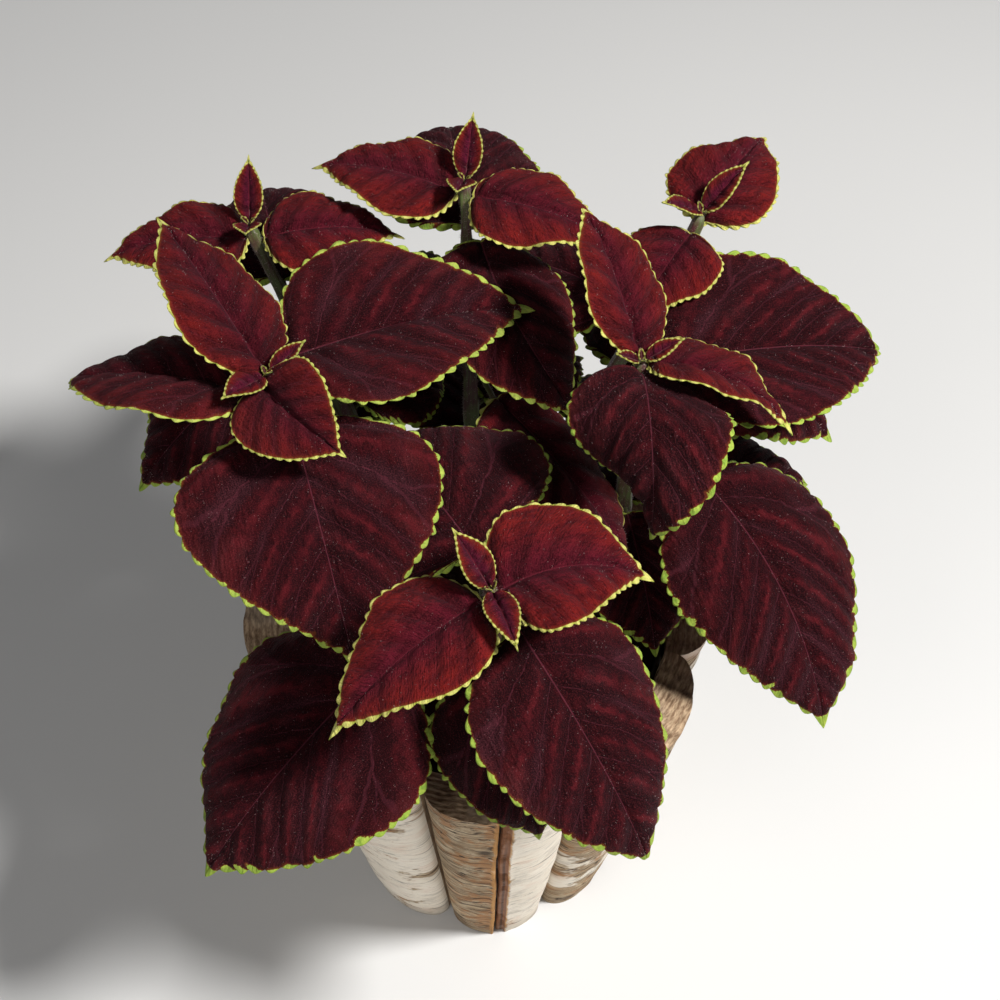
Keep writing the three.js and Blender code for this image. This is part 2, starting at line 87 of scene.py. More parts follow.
def full(z, to, long, wide, **given):
    """A leaf that leaves the stem at height z towards the heading to.

    To keep fine leaves clear of each other, some differ a little from the CAD's: the outer part hangs
    lower by settle, and dents are pressed in at a share of the length and of the half width, each by
    its own depth. The leaf of shoot_back at 279 also heads 3 degrees further clockwise.
    """
    usual = dict(pitch=0, droop=35, curl=10, turn=0, roll=0, twist=0, fold=12, cup=45, wave=1.5,
                 narrow=0, taper=0, petiole=8, stalk_to=to, age=None, settle=0, dents=())
    return Named(**{**usual, **given, "z": z, "to": to, "long": long, "wide": wide})


def young(z, to, long, wide, **given):
    return full(z, to, long, wide, **{**dict(droop=41, petiole=2, narrow=0.6, fold=18), **given})


def bud(z, to, long, wide, **given):
    usual = dict(droop=10, curl=0, petiole=0, narrow=0.6, taper=0.5, fold=25, cup=20, wave=0)
    return full(z, to, long, wide, **{**usual, **given})


# each shoot's name, the x and y of its foot, the x, y and z of its growing tip, and its leaves
SHOOTS = [
    ("shoot_front", (2, -42), (5, -74, 336), [
        bud(334, 136, 25, 13, pitch=52),
        bud(334, -72, 28, 12, pitch=28, droop=30),
        full(328, 26, 56, 52, pitch=20, droop=46, petiole=1, narrow=0.6, fold=22, cup=30, turn=-36),
        full(328, -144, 70, 47, pitch=6, droop=44, petiole=2, narrow=0.9, fold=14, cup=30, turn=6,
             roll=-6),
        full(306, -53, 101, 72, stalk_to=-25, pitch=-22, droop=28, petiole=9, narrow=0.1),
        full(284, 124, 80, 98, stalk_to=100, pitch=9, droop=38, petiole=26, fold=6, roll=10,
             dents=[(0.14, -0.4, 3.4)]),
        full(262, -135, 106, 91, stalk_to=-164, pitch=-8, droop=30, petiole=36),
        # age 1.35 darkens this low leaf almost to black: painted shade
        full(262, -67, 74, 60, stalk_to=-90, pitch=-20, droop=45, age=1.35),
        full(236, -158, 62, 52, pitch=-8, settle=-4),
        full(236, -18, 60, 50, pitch=-8),
    ]),
    ("shoot_left", (-45, 9), (-77, 12, 346), [
        bud(344, -132, 21, 13, pitch=22),
        bud(344, 40, 18, 8, pitch=25),
        full(338, 127, 76, 44, pitch=33, droop=25, petiole=1, narrow=0.4, taper=0.4, fold=22, roll=-24,
             age=0.42),
        full(341, -62, 43, 39, stalk_to=-150, pitch=10, droop=42, petiole=2, narrow=0.4, fold=34,
             turn=46, roll=-28, age=0.42),
        full(322, 22, 100, 73, stalk_to=95, pitch=4, droop=20, petiole=21, narrow=0.6, fold=25, cup=26,
             turn=-3, roll=-8, settle=-1.2),
        full(326, 168, 80, 54, pitch=12, droop=40, petiole=10, fold=24, roll=-18),
        full(320, -73, 96, 100, pitch=-10, droop=38, petiole=0, narrow=0.8, cup=30, roll=5,
             dents=[(0.56, -1, -1.6)]),
        full(256, 158, 74, 62, pitch=-4, petiole=12),
    ]),
    ("shoot_right", (60, 31), (60, 18, 346), [
        bud(344, 16, 17, 8, pitch=34),
        bud(344, 190, 12, 6, pitch=40),
        full(338, 104, 65, 36, pitch=38, droop=22, petiole=1, narrow=0.4, taper=0.6, fold=28, turn=15,
             roll=-24, age=0.36),
        full(341, -4, 60, 35, pitch=10, droop=48, petiole=1, narrow=0.9, fold=34, turn=-32, roll=22,
             age=0.36),
        # age 0.8 gives this young leaf the darker colour of an old one: painted shade
        full(339, -88, 78, 60, pitch=40, droop=125, petiole=0, fold=0, cup=40, roll=22, twist=-85,
             age=0.8),
        full(308, 12, 96, 80, stalk_to=62, pitch=4, droop=24, petiole=21, fold=26, cup=26, roll=-10),
        full(275, -48, 112, 78, stalk_to=-22, pitch=-10, droop=34, petiole=27, cup=50, turn=-26),
        full(240, -78, 60, 54, pitch=-8, petiole=4),
        full(230, 78, 54, 40, petiole=2),
        full(256, 12, 74, 62, pitch=-4, petiole=12),
    ]),
    ("shoot_back", (-4, 56), (-6, 112, 346), [
        bud(344, 80, 26, 12, pitch=48),
        bud(344, 262, 24, 12, pitch=40),
        young(338, -18, 60, 44, pitch=14),
        young(338, 164, 62, 44, pitch=20),
        full(322, -76, 84, 60, stalk_to=-10, pitch=-6, droop=22, curl=20, petiole=4, turn=32, roll=10,
             dents=[(0.42, -1, -1.6)]),
        full(318, 96, 90, 70, pitch=10, droop=48),
        # age 0.45 gives this old leaf the lighter, redder colour of a younger one: painted light
        full(279, -46, 90, 60, stalk_to=-66, pitch=-8, droop=28, curl=20, petiole=26, fold=8, roll=23,
             age=0.45, settle=0.5),
        full(286, 150, 92, 74, droop=45, petiole=12),
        full(256, 40, 60, 46, droop=30, petiole=4),
        full(238, 95, 70, 64, pitch=-2, petiole=4),
    ]),
    ("shoot_back_left", (-44, 46), (-92, 96, 338), [
        bud(336, 90, 26, 12, pitch=46),
        bud(336, 275, 22, 11, pitch=42),
        young(330, 8, 56, 42, pitch=14),
        young(330, 186, 58, 42, pitch=16),
        full(306, 104, 84, 66, pitch=8, droop=48),
        full(292, -140, 82, 66, droop=40, petiole=10),
        full(268, 170, 86, 70, pitch=-4, droop=42, petiole=12),
        full(262, 44, 50, 46, droop=30, petiole=4),
        full(252, 94, 48, 44, petiole=3),
        full(232, 160, 62, 54, pitch=-4, petiole=10),
    ]),
    ("shoot_back_right", (34, 50), (88, 96, 344), [
        bud(342, 30, 26, 12, pitch=48),
        bud(342, 208, 24, 12, pitch=44),
        young(336, -122, 46, 40, pitch=6),
        young(336, 58, 60, 44, pitch=20),
        full(300, -26, 84, 66, pitch=-2, droop=40),
        full(300, 140, 84, 66, pitch=4, droop=48, dents=[(0.14, -0.6, 3.0)]),
        full(268, 50, 88, 70, pitch=-4, droop=42, petiole=12),
        full(240, 56, 66, 56, pitch=-6, petiole=10),
    ]),
]

# ---------- small helpers ----------


def lerp(a, b, share):
    return a + (b - a) * share


def smooth(value, low, high):
    """0 below low and 1 above high, with an even bend between."""
    t = np.clip((value - low) / (high - low), 0, 1)
    return t * t * (3 - 2 * t)


def triple(x, y, z):
    """Three values for each point, from arrays or single numbers."""
    return np.stack(np.broadcast_arrays(x, y, z), -1)


def unit(ways):
    return ways / np.linalg.norm(ways, axis=-1, keepdims=True)


def heading(angle):
    a = np.radians(angle)
    return triple(np.cos(a), np.sin(a), 0)


def aim(angle, pitch):
    p = np.radians(pitch)
    return heading(angle) * np.cos(p)[..., None] + triple(0, 0, np.sin(p))


def every(step, count):
    """Every so many of count places, and the last."""
    return np.unique(np.r_[np.arange(0, count, step), count - 1])


def chance(seed):
    wave = math.sin(seed * 12.9898 + 4.1414) * 43758.5453
    return wave - math.floor(wave)


def rough(points, seed=0.0):
    """Smooth noise from -1 to 1 at points, with features one unit across."""
    cell = np.floor(points)
    part = points - cell
    part = part * part * (3 - 2 * part)
    total = np.zeros(points.shape[:-1])
    for corner in itertools.product((0, 1), repeat=3):
        weight = np.prod(np.where(corner, part, 1 - part), axis=-1)
        key = (cell + corner) @ np.array([127.1, 311.7, 74.7]) + seed * 17.3
        value = np.sin(key) * 43758.5453
        total += weight * (value - np.floor(value))
    return total * 2 - 1


class Build:
    """Points, faces, material slots and named values for each point, gathered into one mesh."""

    def __init__(self, *names):
        self.points = []
        self.faces = []
        self.slots = []
        self.values = {name: [] for name in names}
        self.count = 0

    def add(self, points, faces, slot=0, **values):
        points = np.asarray(points, float).reshape(-1, 3)
        self.points.append(points)
        self.faces += [tuple(int(i) + self.count for i in face) for face in faces]
        self.slots += [slot] * len(faces)
        for name, kept in self.values.items():
            given = np.asarray(values.get(name, (0, 0, 0)), float).reshape(-1, 3)
            kept.append(np.broadcast_to(given, points.shape))
        self.count += len(points)

    def make(self, name, materials, inside=BOX):
        mesh = bpy.data.meshes.new(name)
        points = np.clip(np.concatenate(self.points), *inside) * MM
        mesh.from_pydata(points.tolist(), [], self.faces)
        for value, kept in self.values.items():
            layer = mesh.attributes.new(value, "FLOAT_VECTOR", "POINT")
            layer.data.foreach_set("vector", np.concatenate(kept).astype(np.float32).ravel())
        mesh.polygons.foreach_set("material_index", self.slots)
        mesh.polygons.foreach_set("use_smooth", [True] * len(self.faces))
        for material in materials:
            mesh.materials.append(material)
        mesh.update()
        piece = bpy.data.objects.new(name, mesh)
        bpy.context.scene.collection.objects.link(piece)
        return piece


def grid_faces(rows, columns, wrap=False, flip=False):
    """Quads over a grid of points laid row after row."""
    faces = []
    last = columns if wrap else columns - 1
    for r in range(rows - 1):
        for c in range(last):
            a = r * columns + c
            b = r * columns + (c + 1) % columns
            face = (a, b, b + columns, a + columns)
            faces.append(face[::-1] if flip else face)
    return faces


# ---------- materials ----------


def taking(operation, swapped=False):
    """A method that makes a math node of a value and what it is taken with."""
    def method(value, *others):
        values = (value, *others)
        return value.shader.math(operation, *(values[::-1] if swapped else values))

    return method


class Value:
    """An output of a shader's node. Sums, products and powers of it are nodes too."""

    def __init__(self, shader, socket):
        self.shader = shader
        self.socket = socket

    __add__ = taking("ADD")
    __radd__ = taking("ADD", swapped=True)
    __sub__ = taking("SUBTRACT")
    __rsub__ = taking("SUBTRACT", swapped=True)
    __mul__ = taking("MULTIPLY")
    __pow__ = taking("POWER")
    __abs__ = taking("ABSOLUTE")
    most = taking("MAXIMUM")

    def span(self, low, high, start=0.0, end=1.0):
        """start at low and below, end at high and beyond, with an even bend between."""
        inputs = dict(enumerate((self, low, high, start, end)))
        return self.shader.node("MapRange", inputs, interpolation_type="SMOOTHSTEP")

    def mix(self, a, b):
        """The colour a where this value is 0 and b where it is 1."""
        return self.shader.node("Mix", {0: self, 6: a, 7: b}, 2, data_type="RGBA")

    def coats(self, *layers):
        """This colour with tints laid over it, each given as (share, tint)."""
        color = self
        for share, tint in layers:
            color = share.mix(color, tint)
        return color

    def split(self):
        made = self.shader.node("SeparateXYZ", {0: self}).socket.node
        return [Value(self.shader, output) for output in made.outputs]

    def noise(self, scale, detail=2.0, roughness=0.5):
        inputs = {"Vector": self, "Scale": scale, "Detail": detail, "Roughness": roughness}
        return self.shader.node("TexNoise", inputs, noise_dimensions=self.shader.dimensions)

    def cells(self, scale, feature="F1"):
        return self.shader.node("TexVoronoi", {"Vector": self, "Scale": scale}, "Distance",
                                feature=feature, voronoi_dimensions=self.shader.dimensions)


class Shader:
    """A node material, built by short calls that each return a value."""

    def __init__(self, name, dimensions="3D"):
        self.dimensions = dimensions
        self.material = bpy.data.materials.new(name)
        self.material.use_nodes = True
        self.tree = self.material.node_tree
        self.surface = self.tree.nodes["Principled BSDF"]

    def feed(self, socket, value):
        if isinstance(value, Value):
            self.tree.links.new(value.socket, socket)
        elif hasattr(socket.default_value, "__len__") and len(socket.default_value) == 4:
            socket.default_value = (*value, 1)[:4]
        else:
            socket.default_value = value

    def node(self, kind, inputs, output=0, **settings):
        """A node's output; inputs are given by their names or numbers."""
        made = self.tree.nodes.new("ShaderNode" + kind)
        for key, value in settings.items():
            setattr(made, key, value)
        for key, value in inputs.items():
            self.feed(made.inputs[key], value)
        return Value(self, made.outputs[output])

    def math(self, operation, *values):
        return self.node("Math", dict(enumerate(values)), operation=operation)

    def values(self, name):
        return self.node("Attribute", {}, "Vector", attribute_name=name, attribute_type="GEOMETRY")

    def place(self):
        """The point in metres."""
        return self.node("TexCoord", {}, "Object")

    def join(self, x, y, z):
        return self.node("CombineXYZ", {0: x, 1: y, 2: z})

    def bump(self, height, depth):
        """Relief from a height in millimetres."""
        inputs = {"Height": height, "Strength": depth, "Distance": MM}
        self.feed(self.surface.inputs["Normal"], self.node("Bump", inputs))

    def finish(self, color, roughness, specular, sheen=()):
        """The finished material; sheen is its weight, roughness and tint."""
        inputs = {"Base Color": color, "Roughness": roughness, "Specular IOR Level": specular}
        inputs.update(zip(("Sheen Weight", "Sheen Roughness", "Sheen Tint"), sheen))
        for key, value in inputs.items():
            self.feed(self.surface.inputs[key], value)
        return self.material


def veins_of(s, flat, width):
    """What the mesh says of a point, and how strongly the point lies on a midrib, side vein or fork."""
    index, across, out = s.values("vein").split()
    age, seed, gap = s.values("leaf").split()
    edge, tooth, along = s.values("rim").split()
    index = index + (flat.noise(0.16, 1) - 0.5) * 0.12
    off = index - s.math("ROUND", index)
    nearest = abs(off)
    thick = (1.25 - across) * width + 0.1
    reach = across.span(1, 0.7) * along.span(1, 0.8)
    side = (nearest * gap).span(thick, thick * 0.3) * reach
    rib = out.span((1 - along) * (width * 2) + 0.2, 0.05)
    fork_gap = abs(off - across.span(0.45, 1, 0, 0.3)) * gap
    twig_gap = abs(off + across.span(0.62, 1, 0, 0.22)) * gap
    fork = fork_gap.span(0.42, 0.12) * across.span(0.42, 0.55)
    twig = twig_gap.span(0.36, 0.1) * across.span(0.6, 0.7)
    return Named(side=side, rib=rib, forks=fork.most(twig) * across.span(1, 0.9), age=age, seed=seed,
                 edge=edge, tooth=tooth, along=along, across=across, index=index, out=out, nearest=nearest)


def lime_margin(s, v, flat):
    """The width in millimetres of the lime at a point: beads on young teeth, uneven blobs on old."""
    crest = s.math("SINE", s.math("FRACT", v.tooth) ** TOOTH.lean * math.pi)
    patch = flat.noise(0.1, 2, 0.5)
    fringe = (flat.noise(0.9, 3, 0.65) - 0.5) * 2.4
    bead = crest**0.8
    beads = 0.34 + bead * 0.62
    thin = 0.22 + bead * 0.48
    beads = beads + (thin - beads) * v.age.span(0.28, 0.36)
    blobs = -0.22 + bead * (1.05 + patch.span(0.36, 0.6) * 0.95)
    blobs = blobs + fringe * (0.1 + crest * 0.45)
    deep = patch.span(0.42, 0.72) * 1.9
    lace = -0.22 + bead * 1.1 + deep * (0.15 + crest * 0.85)
    lace = lace + fringe * (0.15 + deep * 0.4)
    older = v.age.span(0.45, 0.75)
    oldest = v.age.span(0.9, 1)
    width = beads * (1 - older) + blobs * older
    width = width * (1 - oldest) + lace * oldest
    width = width * v.age.span(0.12, 0.26, 0.55, 1)
    width = width + v.along.span(v.age.span(0.12, 0.26, 0.86, 0.965), 1, 0, 2.2)
    return width, crest


def crinkle(s, v, flat):
    """Relief of the upper face in millimetres: pads between the veins and fine wrinkles beside them."""
    over = v.index * (6.5 + v.age * 3)
    wide_net = s.join(over * 0.3 + v.seed, v.out * 0.4, 0)
    fine_net = s.join(over * 0.72 + v.seed, v.out * 0.95, 0)
    lines = s.join(over * 2.1 + v.seed, v.out * 0.34, 0)
    pads = 0.5 - wide_net.cells(1, "SMOOTH_F1")
    small = 0.5 - fine_net.cells(1, "SMOOTH_F1")
    comb = lines.noise(1, 3, 0.65) - 0.5
    total = pads * 0.95 + small * 0.6
    total = total + comb * v.age.span(0.2, 0.7, 1.5, 0.5)
    return total, pads, small, comb


def leaf_upper():
    s = Shader("leaf_upper", "2D")
    flat = s.values("flat")
    v = veins_of(s, flat, 0.17)
    old = v.age.span(0.15, 0.75)
    broad = flat.noise(0.04, 3, 0.6)
    mottle = flat.noise(0.25, 5, 0.7)
    grain = flat.noise(2.1, 3, 0.8)
    relief, pads, small, comb = crinkle(s, v, flat)
    # a young leaf is red at its margin, deeper towards its midrib
    tender = v.age.span(0.24, 0.14) * v.across.span(0.75, 0.1)
    red = v.across.span(0.05, 0.85).mix((0.112, 0.007, 0.018), (0.215, 0.012, 0.009)).coats(
        (mottle.span(0.35, 0.75) * 0.35, (0.08, 0.004, 0.01)),
        (tender, (0.12, 0.008, 0.03)),
    )
    # an old leaf is dark wine, warmer towards its margin, with painted sheen in places: grey patches that
    # stand for the sky reflected off its hairs
    warm = v.across.span(0.45, 0.95) * broad.span(0.35, 0.65)
    painted_sheen = broad.span(0.48, 0.75) * grain.span(0.35, 0.65)
    wine = mottle.span(0.32, 0.68).mix((0.009, 0.0008, 0.0016), (0.04, 0.0024, 0.0044)).coats(
        (warm * 0.5, (0.08, 0.0065, 0.006)),
        (painted_sheen * 0.5, (0.085, 0.026, 0.031)),
        # painted shade: a leaf set above 1 here is darkened almost to black, for a leaf hanging in deep
        # shade
        (v.age.span(1, 1.4, 0, 0.8), (0.006, 0.001, 0.0014)),
    )
    # painted shade: darker in the wrinkles and beside the side veins, most near the base and on old
    # leaves; painted highlight: lighter on the ridges between
    deep = v.nearest + (mottle - 0.5) * 0.3
    valley_shade = deep.span(0.4, 0.14) * v.across.span(1, 0.8)
    near_base = v.along.span(0.48, 0.1) * 0.48
    depth = near_base.most(old * broad.span(0.38, 0.6, 0.55, 0.82))
    ridge_highlight = deep.span(0.36, 0.5) * v.across.span(0.02, 0.2)
    ridge_highlight = ridge_highlight * flat.noise(0.075, 2).span(0.35, 0.62, 0.15, 1)
    # painted sheen: grey patches along some side veins of older leaves, for light reflected off the hairs
    shifted = s.join(v.out * 0.03 + v.seed, v.index * 0.35, 0)
    patch = shifted.noise(1, 2).span(0.5, 0.7)
    painted_vein_sheen = deep.span(0.3, 0.06) * grain.span(0.38, 0.62)
    painted_vein_sheen = painted_vein_sheen * (patch * old) * v.age.span(1.25, 1.05)
    # the veins themselves, and pale specks
    whole = flat.noise(0.45, 2, 0.6).span(0.36, 0.58, 0.25, 1)
    faint = (v.side * whole * 0.6).most(v.forks * 0.35)
    faint = faint * (0.26 + old * 0.3)
    vein_color = old.mix((0.15, 0.014, 0.026), (0.135, 0.026, 0.04))
    dots = flat.cells(0.45).span(0.085, 0.04)
    speck = dots * flat.noise(0.3, 1).span(0.6, 0.68)
    # the lime margin, with an orange fringe inside it
    width, crest = lime_margin(s, v, flat)
    fringe = v.edge.span(width + 0.9, width - 0.1)
    lime = v.edge.span(width + 0.1, width - 0.14)
    # painted highlight and shade on the lime beads: pale yellow at each crest, darker olive on its sides
    lit_bead_yellow = crest.mix((0.34, 0.36, 0.045), (0.66, 0.62, 0.17))
    green = flat.noise(0.45, 2).mix((0.11, 0.26, 0.03), (0.5, 0.57, 0.09))
    color = old.mix(red, wine).coats(
        # painted shade: darker in the low parts of the pads, the small pads and the fine wrinkles
        (pads.span(0.15, -0.25) * 0.45, (0.016, 0.0012, 0.0035)),
        (small.span(0.1, -0.3) * 0.45, (0.017, 0.0012, 0.0035)),
        (comb.span(-0.03, -0.17) * v.age.span(0.2, 0.8, 0.62, 0.35), (0.022, 0.0015, 0.004)),
        # painted shade in the valleys beside the side veins, painted highlight on the ridges
        (valley_shade * (0.16 + depth), (0.009, 0.0008, 0.0018)),
        (ridge_highlight * old * 0.62, (0.098, 0.0078, 0.011)),
        # painted highlight and shade on the fine grain: lighter where it stands up, darker in its pits
        (grain.span(0.52, 0.68) * old.span(0, 1, 0.55, 0.48), (0.15, 0.022, 0.025)),
        (grain.span(0.47, 0.32) * 0.65, (0.007, 0.0007, 0.0015)),
        (painted_vein_sheen * 0.5, (0.08, 0.023, 0.031)),
        (faint.most(v.rib * 0.68), vein_color),
        (speck * (0.22 + old * 0.25), (0.34, 0.17, 0.19)),
        (fringe * 0.55, (0.21, 0.05, 0.01)),
        (lime, v.age.span(0.25, 0.8).mix(lit_bead_yellow, green)),
    )
    s.bump(relief + grain * 0.5 - v.side * 0.35 - v.rib * 0.4, 0.95)
    return s.finish(color, 0.5 + grain * 0.25, 0.06, sheen=(0.02, 0.4, (0.85, 0.62, 0.72)))


def leaf_under():
    s = Shader("leaf_under", "2D")
    flat = s.values("flat")
    v = veins_of(s, flat, 0.5)
    net = flat.cells(0.3, "DISTANCE_TO_EDGE").span(0.07, 0)
    lines = (v.side * 0.8).most(v.rib.most(v.forks * 0.5))
    width, _ = lime_margin(s, v, flat)
    lime = v.edge.span(width + 0.1, width - 0.14)
    color = flat.noise(0.2, 4, 0.6).mix((0.055, 0.01, 0.014), (0.115, 0.026, 0.03)).coats(
        (lines * 0.7, (0.19, 0.075, 0.065)),
        (net * 0.25, (0.13, 0.04, 0.04)),
        (lime * 0.85, (0.2, 0.32, 0.05)),
    )
    relief, _, _, _ = crinkle(s, v, flat)
    height = lines * 0.45 + net * 0.12 - relief * 0.4
    s.bump(height + flat.noise(1.6, 3, 0.6) * 0.14, 0.7)
    return s.finish(color, 0.62, 0.28, sheen=(0.12, 0.5, (0.8, 0.7, 0.7)))


def stem_skin():
    s = Shader("stem_skin")
    flat = s.values("flat")
    _, seed, _ = s.values("leaf").split()
    _, _, covered = s.values("rim").split()
    along, turn, _ = flat.split()
    streak = s.join(along * 0.12, turn * 1.3, seed).noise(1, 4, 0.6)
    red = (flat.noise(0.09, 2) * 0.6 + streak * 0.5).span(0.42, 0.68)
    color = red.mix((0.085, 0.115, 0.032), (0.065, 0.014, 0.017))
    color = covered.mix(color, (0.085, 0.02, 0.024))
    s.bump(streak * 0.3 + flat.noise(1.8, 2) * 0.08, 0.6)
    return s.finish(color, 0.5, 0.4, sheen=(0.1, 0.4, (0.9, 0.9, 0.8)))


def leaf_hair():
    s = Shader("leaf_hair")
    along, _, _ = s.values("flat").split()
    age, seed, _ = s.values("leaf").split()
    tone = s.join(seed, age, along * 2).noise(9, 2)
    color = along.span(0, 0.6).mix((0.16, 0.04, 0.05), (0.62, 0.48, 0.5))
    color = (tone * 0.5).mix(color, (0.5, 0.42, 0.32))
    return s.finish(color, along.span(0, 1, 0.6, 0.35), 0.5)


def birch_bark():
    s = Shader("birch_bark")
    arc, up, split = s.values("bark").split()
    seed, brown, below = s.values("slab").split()
    at = s.join(arc, up, seed * 31)
    bow = up + arc * arc * 0.006
    # cream paper with fine cross lines, dark lenticels, stains, scars and small brown flecks
    fine = s.join(arc * 0.06, bow * 0.95, seed).noise(1, 4, 0.65)
    dashes = s.join(arc * 0.06, bow * 0.5, seed + 7).noise(1, 2)
    dash = dashes.span(0.62, 0.7) * at.noise(0.045, 2).span(0.45, 0.62)
    fleck = at.noise(0.45, 4, 0.7).span(0.6, 0.7)
    stain = s.join(arc * 0.07, up * 0.12, seed + 2).noise(1, 5, 0.7)
    scar = s.join(arc * 0.045, bow * 0.16, seed + 17).noise(1, 5, 0.65)
    scar = scar.span(0.635, 0.665) * fine.span(0.62, 0.4)
    paper = at.noise(0.03, 3, 0.6).mix((0.72, 0.62, 0.48), (0.9, 0.85, 0.75)).coats(
        (at.noise(0.06, 3, 0.6).span(0.5, 0.75) * 0.45, (0.66, 0.46, 0.32)),
        (fine.span(0.53, 0.66) * 0.4, (0.4, 0.31, 0.22)),
        (dash * 0.85, (0.1, 0.068, 0.048)),
        (fleck * 0.5, (0.42, 0.24, 0.12)),
        (stain.span(0.5, 0.68) * 0.6, (0.4, 0.35, 0.29)),
        (stain.span(0.44, 0.3) * 0.5, (0.7, 0.52, 0.4)),
        (scar * 0.92, (0.045, 0.034, 0.026)),
    )
    # brown weathered bark, with a wavy grain, where the paper has gone
    flow = bow + (at.noise(0.04, 2, 0.5) - 0.5) * 22
    grain = s.join(arc * 0.07, flow * 0.62, seed + 3).noise(1, 5, 0.7)
    wave = s.join(arc * 0.03, flow * 0.2, seed + 9).noise(1, 1)
    furrow = abs(wave - 0.5).span(0.035, 0)
    knot = at.cells(0.035).span(0.16, 0.06)
    beside = split.span(-16, -3) * split.span(0, -2)
    rust = (at.noise(0.09, 4, 0.65) + beside * 0.12).span(0.5, 0.64)
    pit = s.join(arc, up * 1.6, seed).noise(0.13, 4, 0.65)
    hole = (pit + below.span(60, 5, 0, 0.05)).span(0.63, 0.67)
    weathered = grain.span(0.32, 0.68).mix((0.2, 0.12, 0.06), (0.6, 0.46, 0.29)).coats(
        (at.noise(0.1, 4, 0.7).span(0.5, 0.66) * 0.55, (0.7, 0.58, 0.4)),
        (rust * 0.7, (0.44, 0.19, 0.062)),
        (hole, (0.06, 0.036, 0.022)),
        (furrow.most(knot) * 0.85, (0.045, 0.026, 0.016)),
    )
    reach = brown + (at.noise(0.055, 4, 0.6) - 0.5) * 1.3
    reach = reach + arc * -0.035 * seed.span(0.4, 0.5, 1, 0)
    worn = reach.span(0.42, 0.52)
    # a torn paper edge a little below the sawn top, with a dark line painted along it as the shadow in its
    # gap
    edge = below - (3.5 + s.join(arc, seed, 0).noise(0.07, 3, 0.6) * 9)
    bare = edge.span(0.3, -0.3) * s.join(arc, seed, 4).noise(0.035, 1).span(0.47, 0.52)
    tear_and_shadow = abs(edge).span(0.65, 0.15) * at.noise(0.12, 2).span(0.42, 0.5)
    # the split: a torn orange lip, a slit painted black for the shade deep in it, a strip of red inner
    # bark and another lip
    jag = split + (at.noise(0.16, 4, 0.65) - 0.5) * 3.5
    lip = jag.span(-5.2, -4.2) * split.span(-2.3, -2.7)
    other = split.span(2.4, 2.7) * jag.span(3.6, 2.8)
    strip = split.span(-2.9, -2.6) * split.span(2.9, 2.5)
    slit = split.span(-2.6, -2.35) * split.span(-1.45, -1.75)
    middle = abs(split - 0.9).span(0.9, 0.3) * up.span(190, 120)
    fibre = s.join(split * 1.1, up * 0.05, seed).noise(1, 3, 0.6)
    torn = fibre.mix((0.4, 0.15, 0.035), (0.78, 0.44, 0.15))
    foot = up.span(22, 0) * at.noise(0.1, 3)
    color = paper.coats(
        (worn, weathered),
        (bare * 0.75, (0.5, 0.34, 0.24)),
        (tear_and_shadow * 0.9, (0.055, 0.038, 0.028)),
        (lip.most(other) * 0.9, torn),
        (strip, fibre.mix((0.13, 0.042, 0.018), (0.4, 0.175, 0.07))),
        (middle * 0.75, (0.05, 0.02, 0.011)),
        (slit, (0.01, 0.006, 0.004)),
        (foot * 0.7, (0.16, 0.11, 0.07)),
    )
    height = fine * 0.25 + dash.most(scar) * 0.45
    height = height - (worn * 0.9 + bare * 0.5) - (hole * worn * 1.2 + tear_and_shadow * 0.4)
    height = height + worn * grain * 1.6 - worn * furrow.most(knot) * 0.9
    s.bump(height + at.noise(0.9, 4, 0.6) * 0.16, 0.9)
    return s.finish(color, worn.span(0, 1, 0.62, 0.88), 0.3)


def split_wood():
    s = Shader("split_wood")
    at = s.values("bark")
    arc, up, depth = at.split()
    seed, _, cap = s.values("slab").split()
    rings = s.math("SINE", (depth + at.noise(0.1) * 2) * 2.6)
    fibre = s.join(arc * 0.9, up * 0.035, seed).noise(1, 4, 0.6)
    end = s.join(arc * 0.35, depth, seed).noise(0.8, 4, 0.6)
    grain = fibre * (1 - cap) + end * cap
    color = grain.span(0.3, 0.7).mix((0.17, 0.1, 0.055), (0.56, 0.4, 0.25)).coats(
        (rings.span(0.2, 0.9) * 0.35, (0.2, 0.115, 0.06)),
        (at.noise(0.05).span(0.5, 0.8) * 0.4, (0.28, 0.24, 0.19)),
    )
    s.bump(grain * 0.5 + rings * 0.12, 0.8)
    return s.finish(color, 0.8, 0.25)


def liner_plastic():
    s = Shader("liner_plastic")
    place = s.place()
    tone = place.noise(40, 3)
    dust = place.noise(110, 4, 0.7).span(0.55, 0.8) * 0.35
    color = dust.mix(tone.mix((0.02, 0.016, 0.013), (0.038, 0.03, 0.024)), (0.12, 0.085, 0.055))
    s.bump(place.noise(900, 2) * 0.1 + dust * 0.2, 0.5)
    return s.finish(color, 0.45 + tone * 0.2, 0.4)


def potting_soil():
    s = Shader("potting_soil")
    place = s.place()
    clod = place.cells(260)
    grain = place.noise(700, 4, 0.7)
    color = place.noise(60, 4, 0.6).mix((0.016, 0.009, 0.005), (0.05, 0.028, 0.016)).coats(
        (grain.span(0.6, 0.75), (0.085, 0.055, 0.034)),
        (clod.span(0.3, 0.05) * 0.5, (0.01, 0.006, 0.004)),
    )
    s.bump(clod * 0.8 + grain * 0.5, 1)
    return s.finish(color, 0.92, 0.2)


MATERIALS = dict(
    upper=leaf_upper(),
    under=leaf_under(),
    stem=stem_skin(),
    hair=leaf_hair(),
    bark=birch_bark(),
    wood=split_wood(),
    liner=liner_plastic(),
    soil=potting_soil(),
)


def dress(build, node, slot, *materials):
    """Makes the fine piece that stands for a node of the CAD."""
    piece = build.make(node + "_fine", [MATERIALS[name] for name in materials])
    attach(piece, "root")
    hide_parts(node)


